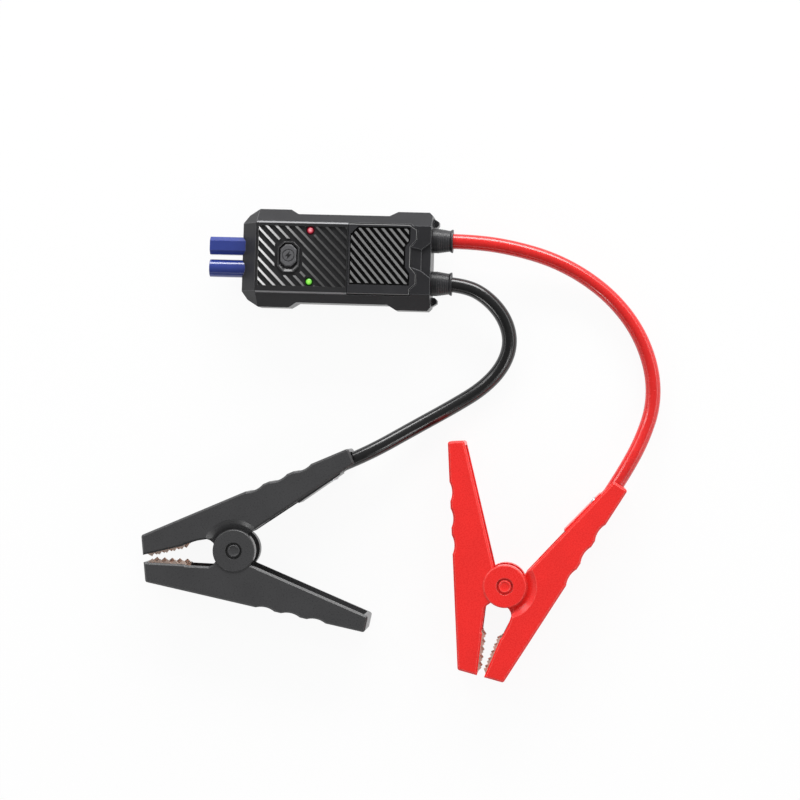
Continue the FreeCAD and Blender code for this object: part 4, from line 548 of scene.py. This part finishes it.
def turned_model(name, rings, slot_rings=(), cross=(1.0, 0.3)):
    """A closed solid from rings of (radius, height), then of (share of the cross, height)."""
    reach, half_width = cross
    corner = math.atan2(half_width, reach)
    quarter = [0, corner, (corner + math.pi / 4) / 2, math.pi / 4,
               math.pi / 2 - (corner + math.pi / 4) / 2, math.pi / 2 - corner]
    angles = [a + q * math.pi / 2 for q in range(4) for a in quarter]
    outlines = [([radius] * len(angles), height) for radius, height in rings]
    outlines += [([cross_radius(a, reach, half_width) * share for a in angles], height)
                 for share, height in slot_rings]
    places = [(r * math.cos(a) * MM, r * math.sin(a) * MM, height * MM)
              for outline, height in outlines for r, a in zip(outline, angles)]
    faces = []
    count = len(angles)
    for ring in range(len(outlines) - 1):
        for i in range(count):
            j = (i + 1) % count
            faces.append((ring * count + i, ring * count + j,
                          (ring + 1) * count + j, (ring + 1) * count + i))
    faces.append(tuple(reversed(range(count))))
    faces.append(tuple(range((len(outlines) - 1) * count, len(outlines) * count)))
    mesh = bpy.data.meshes.new(name)
    mesh.from_pydata(places, [], faces)
    mesh.validate()
    mesh.update()
    mesh.shade_smooth()
    mesh.set_sharp_from_angle(angle=math.radians(35))
    return add_object(name, mesh)


def pan_screw(name, head, thick, shank, long, pitch):
    """A pan-head screw with a cross slot: seat at height 0, head above it, thread below it."""
    rings = []
    steps = max(2, round(long / pitch))
    for i in range(steps):
        low = -long + i * long / steps
        rings += [(shank * (0.55 if i == 0 else 0.8), low), (shank, low + 0.45 * long / steps)]
    rings += [(shank * 0.85, -0.02), (head * 0.96, 0.0), (head, thick * 0.15), (head, thick * 0.62),
              (head * 0.93, thick * 0.86), (head * 0.74, thick * 0.98), (head * 0.68, thick)]
    slot_rings = [(1.0, thick), (0.85, thick * 0.45)]
    return turned_model(name, rings, slot_rings, cross=(head * 0.56, head * 0.14))


case_screw = pan_screw("case_screw", 2.5, 1.8, 1.3, 13.9, 1.3)
board_screw = pan_screw("board_screw", 2.2, 1.5, 1.0, 5.6, 1.0)
saddle_screw = pan_screw("saddle_screw", 1.7, 1.0, 1.25, 9.8, 1.0)
rivet = turned_model("rivet", [
    (1.2, -4.3), (1.4, -4.0), (1.4, 0.0), (2.45, 0.0), (2.6, 0.12), (2.56, 0.36), (2.3, 0.62),
    (1.7, 0.82), (0.9, 0.9), (0.6, 0.84), (0.2, 0.78)])
rivet_tail = turned_model("rivet_tail", [
    (1.2, -1.0), (1.4, 0.0), (2.1, 0.0), (2.2, 0.12), (2.1, 0.4), (1.7, 0.7), (0.9, 0.88),
    (0.2, 0.9)])
pin_cap = turned_model("pin_cap", [
    (2.9, 0.0), (3.1, 0.08), (3.1, 0.6), (3.0, 0.86), (2.75, 1.06), (2.5, 1.08), (2.2, 0.9),
    (1.2, 0.84), (0.2, 0.82)])
models = [case_screw, board_screw, saddle_screw, rivet, rivet_tail, pin_cap]
print([(model.name, len(model.data.polygons)) for model in models])

# %% [markdown]
# ## One tree sets them all
# The start mesh is only points, each with the direction that its head looks in. The tree puts a
# copy of the model on each point, leans it to that direction, and gives it a random turn about its
# own axis, because no two screws stop at the same angle. The seed is fixed, so it comes out the
# same.

# %% Fastener tree
fastener_tree, given = new_tree(
    "fasteners_on_points", Model="Object", Seed="Int", Finish="Material")
look = add(fastener_tree, "GeometryNodeInputNamedAttribute", {
    "Name": "look"}, data_type="FLOAT_VECTOR")
lean = add(fastener_tree, "FunctionNodeAlignRotationToVector", {
    "Vector": look.outputs["Attribute"]}, axis="Z")
spin = add(fastener_tree, "FunctionNodeRandomValue", {
    "Min": 0.0, "Max": 2 * math.pi, "Seed": given["Seed"]}, data_type="FLOAT")
about_z = add(fastener_tree, "ShaderNodeCombineXYZ", {"Z": spin.outputs["Value"]})
spun = add(fastener_tree, "FunctionNodeEulerToRotation", {"Euler": about_z.outputs["Vector"]})
turned_by = add(fastener_tree, "FunctionNodeRotateRotation", {
    "Rotation": lean.outputs["Rotation"], "Rotate By": spun.outputs["Rotation"]},
    rotation_space="LOCAL")
shape = add(fastener_tree, "GeometryNodeObjectInfo", {"Object": given["Model"]})
copies = add(fastener_tree, "GeometryNodeInstanceOnPoints", {
    "Points": given["Start"], "Instance": shape.outputs["Geometry"],
    "Rotation": turned_by.outputs["Rotation"]})
end_tree(fastener_tree, copies.outputs["Instances"], given["Finish"])


def set_fasteners(name, model, seats, body, slot, finish, replaced=(), seed=1):
    """seats: pairs of a point in mm and the direction that the head looks in."""
    points = bpy.data.meshes.new(f"{name}_points")
    points.from_pydata([Vector(p) * MM for p, _ in seats], [], [])
    looks = points.attributes.new("look", "FLOAT_VECTOR", "POINT")
    for item, (_, direction) in zip(looks.data, seats):
        item.vector = direction
    return grow(name, fastener_tree, points, body, slot, replaced,
                Model=model, Seed=seed, Finish=finish)


# %% [markdown]
# ## Screws of the module
# Four screws come up from below through the bottom cover, their heads sunk in round pockets. Four
# smaller ones hold the board to its posts.

# %% Module screws
set_fasteners("case_screw_set", case_screw,
              [((x, y, 2.4), (0, 0, -1)) for x in (-39.5, 36.0) for y in (17.8, -17.8)],
              "lead", "screw_steel", zinc_steel, ["case_screws"], seed=3)
set_fasteners("board_screw_set", board_screw,
              [((x, y, 8.6), (0, 0, 1)) for x in (-31.5, 8.0) for y in (12.6, -12.6)],
              "lead", "screw_steel", zinc_steel, ["board_screws"], seed=4)

# %% [markdown]
# ## Fasteners of the clamps
# Both clamps are one design, laid down at different angles, and the red one is turned over. So
# their pieces are placed in the clamp's own frame, with the pin at its origin and the jaws towards
# -X, and one matrix per clamp lays them down. The free arm's pieces are the same again, turned
# over.

# %% Clamp frame
clamp_frames = {
    "black": Matrix.Translation((-47.7, -144.3, 11.5)) @ Matrix.Rotation(math.radians(6.9), 4, "Z"),
    "red": Matrix.Translation((85.3, -156.7, 11.5)) @ Matrix.Rotation(math.radians(76.6), 4, "Z")
    @ Matrix.Rotation(math.pi, 4, "X"),
}
turned_over = Matrix.Rotation(math.pi, 4, "X")
JAW_LEAN, EDGE_LEAN = math.radians(7.9), math.radians(17.6)
TIP, MOUTH, EDGE = -45.2, 1.8, 11.5
RIVET_INWARD, TAIL_INWARD, STRAP_ALONG = 4.4, 6.7, 25.5
CAP_LEVEL, SADDLE_SCREW_LEVEL = 10.3, 6.3


def mouth_place(along, inward, z=0.0):
    """A point along the jaws' edge from the tip, and inward from that edge into the arm."""
    c, s = math.cos(JAW_LEAN), math.sin(JAW_LEAN)
    return Vector((TIP + along * c - inward * s, MOUTH + along * s + inward * c, z))


def edge_place(along, inward, z=0.0):
    """A point along the arm's straight outer edge from the tip, and inward from that edge."""
    c, s = math.cos(EDGE_LEAN), math.sin(EDGE_LEAN)
    return Vector((TIP + along * c + inward * s, EDGE + along * s - inward * c, z))


def laid(matrix, seats):
    """Seats of the clamp's own frame, moved to where the clamp lies."""
    return [(matrix @ Vector(p), matrix.to_3x3() @ Vector(d)) for p, d in seats]


to_mouth = Vector((math.sin(JAW_LEAN), -math.cos(JAW_LEAN), 0))
off_saddle = Vector((math.sin(EDGE_LEAN), -math.cos(EDGE_LEAN), 0))
jaw_rivets = [(mouth_place(along, RIVET_INWARD), to_mouth) for along in (6.514, 16.2)]
strap_rivet = [(mouth_place(STRAP_ALONG, RIVET_INWARD), to_mouth)]
strap_tail = [(mouth_place(STRAP_ALONG, TAIL_INWARD), -to_mouth)]
saddle_seats = [(edge_place(97.4, 10.7, z), off_saddle)
                for z in (SADDLE_SCREW_LEVEL, -SADDLE_SCREW_LEVEL)]
cap_seats = [((0, 0, CAP_LEVEL), (0, 0, 1)), ((0, 0, -CAP_LEVEL), (0, 0, -1))]
print("clamp frames:", list(clamp_frames))

# %% Clamp fasteners
for side, arm in (("red", clamp_red), ("black", clamp_black)):
    frame_here = clamp_frames[side]
    other = frame_here @ turned_over
    set_fasteners(f"{side}_cable_jaw_rivet_set", rivet, laid(frame_here, jaw_rivets + strap_rivet),
                  "lead", "copper", jaw_copper, [f"{side}_cable_jaw_rivets"])
    set_fasteners(f"{side}_strap_rivet_tail", rivet_tail, laid(frame_here, strap_tail),
                  "lead", "copper", jaw_copper, [f"{side}_cable_jaw_rivets"])
    set_fasteners(f"{side}_free_jaw_rivet_set", rivet, laid(other, jaw_rivets),
                  f"{side}_free", "copper", jaw_copper, [f"{side}_free_jaw_rivets"])
    set_fasteners(f"{side}_saddle_screw_set", saddle_screw, laid(frame_here, saddle_seats),
                  "lead", "screw_steel", zinc_steel, [f"{side}_saddle_screws"], seed=7)
    set_fasteners(f"{side}_pin_cap_pair", pin_cap, laid(frame_here, cap_seats),
                  "lead", f"clamp_{side}", arm, [f"{side}_pivot_caps"])

for model in models:
    bpy.data.objects.remove(model)

# %% [markdown]
# ## Torsion springs
# The spring is one wire: a leg in the free arm, three and a bit clockwise turns round the pin, and
# a leg in the cable arm. A screw modifier makes a coil but no legs, so the path is written as a
# rule, angle by angle, and a small tree sweeps the round wire along it. The arm that swings takes
# its leg with it. That leg goes on as a slightly thinner arc inside the coil's flat first quarter
# turn, so it slides out of the coil as the clamp opens, and the wire never looks broken.

# %% Wire tree
wire_tree, given = new_tree("wire_along_path", Wire="Float", Finish="Material")
path = add(wire_tree, "GeometryNodeMeshToCurve", {"Mesh": given["Start"]})
section = add(wire_tree, "GeometryNodeCurvePrimitiveCircle", {
    "Resolution": 12, "Radius": given["Wire"]}, mode="RADIUS")
swept = add(wire_tree, "GeometryNodeCurveToMesh", {
    "Curve": path.outputs["Curve"], "Profile Curve": section.outputs["Curve"], "Fill Caps": True})
smooth = add(wire_tree, "GeometryNodeSetShadeSmooth", {"Geometry": swept.outputs["Mesh"]})
end_tree(wire_tree, smooth.outputs["Geometry"], given["Finish"])

COIL, RISE, LEG = 5.2, 8.4, 32.0
WHOLE, FIRST = math.radians(1160), math.radians(220)
FLAT = WHOLE / 13
STEPS, LEG_STEPS, SLIDE_STEPS = 116, 4, 8
LEG_LEAN, SLIDE = math.radians(50), math.radians(60)
FIXED_WIRE, MOVING_WIRE = 0.8, 0.75


def coil_point(turned_angle):
    """A point of the coil, after so much clockwise turning. Its first and last quarter are flat."""
    climb = min(max(turned_angle - FLAT, 0), WHOLE - 2 * FLAT) / (WHOLE - 2 * FLAT)
    a = FIRST - turned_angle
    return Vector((COIL * math.cos(a), COIL * math.sin(a), RISE * (climb - 0.5)))


def wire_path(name, matrix, points):
    """A chain of edges through the points, which the wire tree sweeps along."""
    mesh = bpy.data.meshes.new(name)
    mesh.from_pydata([matrix @ p * MM for p in points],
                     [(i, i + 1) for i in range(len(points) - 1)], [])
    return mesh


lean_out = Vector((math.cos(LEG_LEAN), math.sin(LEG_LEAN), 0))
lean_back = Vector((lean_out.x, -lean_out.y, 0))
coil = [coil_point(WHOLE * i / STEPS) for i in range(STEPS + 1)]
fixed_wire = coil + [coil[-1] + lean_out * LEG * i / LEG_STEPS for i in range(1, LEG_STEPS + 1)]
moving_wire = [coil[0] + lean_back * LEG * i / LEG_STEPS for i in range(LEG_STEPS, 0, -1)]
moving_wire += [coil_point(SLIDE * i / SLIDE_STEPS) for i in range(SLIDE_STEPS + 1)]
for side, frame_here in clamp_frames.items():
    grow(f"{side}_spring_coil", wire_tree, wire_path("coil_path", frame_here, fixed_wire), "lead",
         "spring_steel", [f"{side}_torsion_spring"], Wire=FIXED_WIRE * MM, Finish=spring_wire)
    grow(f"{side}_spring_leg", wire_tree, wire_path("leg_path", frame_here, moving_wire),
         f"{side}_free", "spring_steel", [f"{side}_torsion_spring"],
         Wire=MOVING_WIRE * MM, Finish=spring_wire)

# %% [markdown]
# ## Rings of the strain reliefs
# Fine rings run round each rubber sleeve and let it bend without kinking. They could be cut one by
# one in the CAD, but a row of rings whose size follows the sleeve's taper is one short rule: a
# line of points, a circle on each, scaled by where it stands, and a thin round section, half sunk.

# %% Ring tree
ring_tree, given = new_tree(
    "rings_along_sleeve", Rings="Int", Pitch="Float", Wide="Float", Narrow="Float",
    Cord="Float", Finish="Material")
step = add(ring_tree, "ShaderNodeCombineXYZ", {"X": given["Pitch"]})
row = add(ring_tree, "GeometryNodeMeshLine", {
    "Count": given["Rings"], "Offset": step.outputs["Vector"]}, mode="OFFSET")
place = add(ring_tree, "GeometryNodeInputIndex")
last = add(ring_tree, "ShaderNodeMath", {0: given["Rings"], 1: 1.0}, operation="SUBTRACT")
size = add(ring_tree, "ShaderNodeMapRange", {
    "Value": place.outputs["Index"], "From Max": last.outputs["Value"],
    "To Min": given["Wide"], "To Max": given["Narrow"]})
circle = add(ring_tree, "GeometryNodeCurvePrimitiveCircle", {
    "Resolution": 48, "Radius": 1.0}, mode="RADIUS")
hoops = add(ring_tree, "GeometryNodeInstanceOnPoints", {
    "Points": row.outputs["Mesh"], "Instance": circle.outputs["Curve"],
    "Rotation": (0, math.pi / 2, 0), "Scale": size.outputs["Result"]})
real_hoops = add(ring_tree, "GeometryNodeRealizeInstances", {
    "Geometry": hoops.outputs["Instances"]})
section = add(ring_tree, "GeometryNodeCurvePrimitiveCircle", {
    "Resolution": 8, "Radius": given["Cord"]}, mode="RADIUS")
bands = add(ring_tree, "GeometryNodeCurveToMesh", {
    "Curve": real_hoops.outputs["Geometry"], "Profile Curve": section.outputs["Curve"]})
smooth = add(ring_tree, "GeometryNodeSetShadeSmooth", {"Geometry": bands.outputs["Mesh"]})
end_tree(ring_tree, smooth.outputs["Geometry"], given["Finish"])

FIRST_RING, MIDDLE = 47.5, 12.5
for side, y in (("red", 10.5), ("black", -10.5)):
    rings = grow(f"{side}_strain_relief_rings", ring_tree, bpy.data.meshes.new("no_start"), "lead",
                 "relief_black", Rings=7, Pitch=0.85 * MM, Wide=5.95 * MM, Narrow=5.12 * MM,
                 Cord=0.16 * MM, Finish=relief_rubber)
    rings.data.transform(Matrix.Translation((FIRST_RING * MM, y * MM, MIDDLE * MM)))

# %% [markdown]
# ## The button's sign
# A lightning bolt, the general sign for power, stands inside the button's engraved ring. It could
# be drawn in the button's material, but its sharp corners are easier and crisper as a thin inlay.

# %% Bolt sign
sign_ink = moulded("button_sign_dark_ink", "#141416", 0.4, 0.004, 0.5, 0.05, 0.3)[0]
bolt = [(0.9, 2.3), (-1.8, -0.5), (-0.4, -0.5), (-0.9, -2.3), (1.8, 0.6), (0.4, 0.6)]
CENTRE, UNDERSIDE, TOP = (-24.8, 0.8), 25.5, 25.615
low = [(CENTRE[0] + x, CENTRE[1] + y, UNDERSIDE) for x, y in bolt]
high = [(x, y, TOP) for x, y, _ in low]
around = len(bolt)
sign_mesh = bpy.data.meshes.new("button_bolt_sign")
sign_mesh.from_pydata(
    [Vector(p) * MM for p in low + high], [],
    [tuple(reversed(range(around))), tuple(range(around, 2 * around))]
    + [(i, (i + 1) % around, around + (i + 1) % around, around + i) for i in range(around)])
sign_mesh.materials.append(sign_ink)
set_piece("button_bolt_sign", sign_mesh, "button")

# %% [markdown]
# ## Floor, world and lamps
# The set is a white table. Seen by the camera, and in reflections, the table is white of its own
# colour, with a little of the real shadow kept. The world is dim but for a bright band all round,
# 19 to 26 degrees above the table, like a row of softboxes. A round cable mirrors the band as two
# long streaks with the dim overhead between them, and black tops stay black. A large softbox on
# the far side gives the direction. Three small ones stand where the coned hollows round the
# clamps' pivots send their light up to the camera.

# %% Floor
TABLE_HALF, TABLE_GAP = 12, 0.0004
OWN_WHITE = 0.93


def white_table():
    """White of its own colour to rays that see it; the rest of it is lit, and keeps the shadow."""
    material, tree, output = new_material("white_table")
    lit = add(tree, "ShaderNodeBsdfDiffuse", {"Color": (0.9, 0.9, 0.9, 1)})
    white = add(tree, "ShaderNodeEmission", {"Color": (1, 1, 1, 1), "Strength": 1.0})
    ray = add(tree, "ShaderNodeLightPath")
    seen = add(tree, "ShaderNodeMath", {
        0: ray.outputs["Is Camera Ray"], 1: ray.outputs["Is Glossy Ray"]}, operation="MAXIMUM")
    seen = add(tree, "ShaderNodeMath", {
        0: seen.outputs["Value"], 1: ray.outputs["Is Transmission Ray"]}, operation="MAXIMUM")
    share = add(tree, "ShaderNodeMath", {
        0: seen.outputs["Value"], 1: OWN_WHITE}, operation="MULTIPLY")
    mixed = add(tree, "ShaderNodeMixShader", {
        "Fac": share.outputs["Value"], 1: lit.outputs["BSDF"], 2: white.outputs["Emission"]})
    tree.links.new(mixed.outputs["Shader"], output.inputs["Surface"])
    return material


table_mesh = bpy.data.meshes.new("table")
table_mesh.from_pydata([
    (-TABLE_HALF, -TABLE_HALF, 0), (TABLE_HALF, -TABLE_HALF, 0), (TABLE_HALF, TABLE_HALF, 0),
    (-TABLE_HALF, TABLE_HALF, 0)], [], [(0, 1, 2, 3)])
table_mesh.materials.append(white_table())
table = add_object("table", table_mesh)
table.location.z = -TABLE_GAP
print("table", 2 * TABLE_HALF, "m wide")

# %% World
world = bpy.data.worlds.new("studio")
bpy.context.scene.world = world
world.use_nodes = True
sky = world.node_tree
direction = add(sky, "ShaderNodeTexCoord").outputs["Generated"]
up = add(sky, "ShaderNodeSeparateXYZ", {"Vector": direction})
dome = add(sky, "ShaderNodeValToRGB", {"Fac": up.outputs["Z"]})
# The far side, towards the key, is brighter than the near one.
towards_key = add(sky, "ShaderNodeVectorMath", {
    0: direction, 1: (0.3, 0.95, 0.0)}, operation="DOT_PRODUCT")
fall = add(sky, "ShaderNodeMapRange", {
    "Value": towards_key.outputs["Value"], "From Min": -1.0, "From Max": 1.0,
    "To Min": 1.0, "To Max": 4.2})
sky.links.new(fall.outputs["Result"], sky.nodes["Background"].inputs["Strength"])
levels = dome.color_ramp.elements
ring = ((0.04, 0.36), (0.1, 0.1), (0.26, 0.1), (0.32, 1.0), (0.44, 1.0), (0.5, 0.1), (1.0, 0.12))
while len(levels) < len(ring):
    levels.new(0.5)
for level, (height, grey) in zip(levels, ring):
    level.position = height
    level.color = (grey, grey, grey, 1)
sky.links.new(dome.outputs["Color"], sky.nodes["Background"].inputs["Color"])
print("world levels:", [round(level.color[0], 2) for level in levels])


# %% Softboxes
LAMPS_LOOK_AT = (0.03, -0.09, 0)


def softbox(name, place, size, power):
    """A rectangular lamp that looks at the middle of the object."""
    data = bpy.data.lights.new(name, "AREA")
    data.shape = "RECTANGLE"
    data.size, data.size_y = size
    data.energy = power
    lamp = add_object(name, data)
    lamp.location = place
    aim = Vector(LAMPS_LOOK_AT) - Vector(place)
    lamp.rotation_euler = aim.to_track_quat("-Z", "Y").to_euler()
    print("softbox", name, power, "W")


softbox("key", (0.15, 1.35, 0.52), (1.7, 0.6), 26)
for name, place in (("front_right", (0.976, -0.874, 1.168)), ("front_left", (-0.857, -1.407, 0.82)),
                    ("back_left", (-0.957, 0.685, 1.07))):
    softbox(name, place, (0.28, 0.28), 2.4)
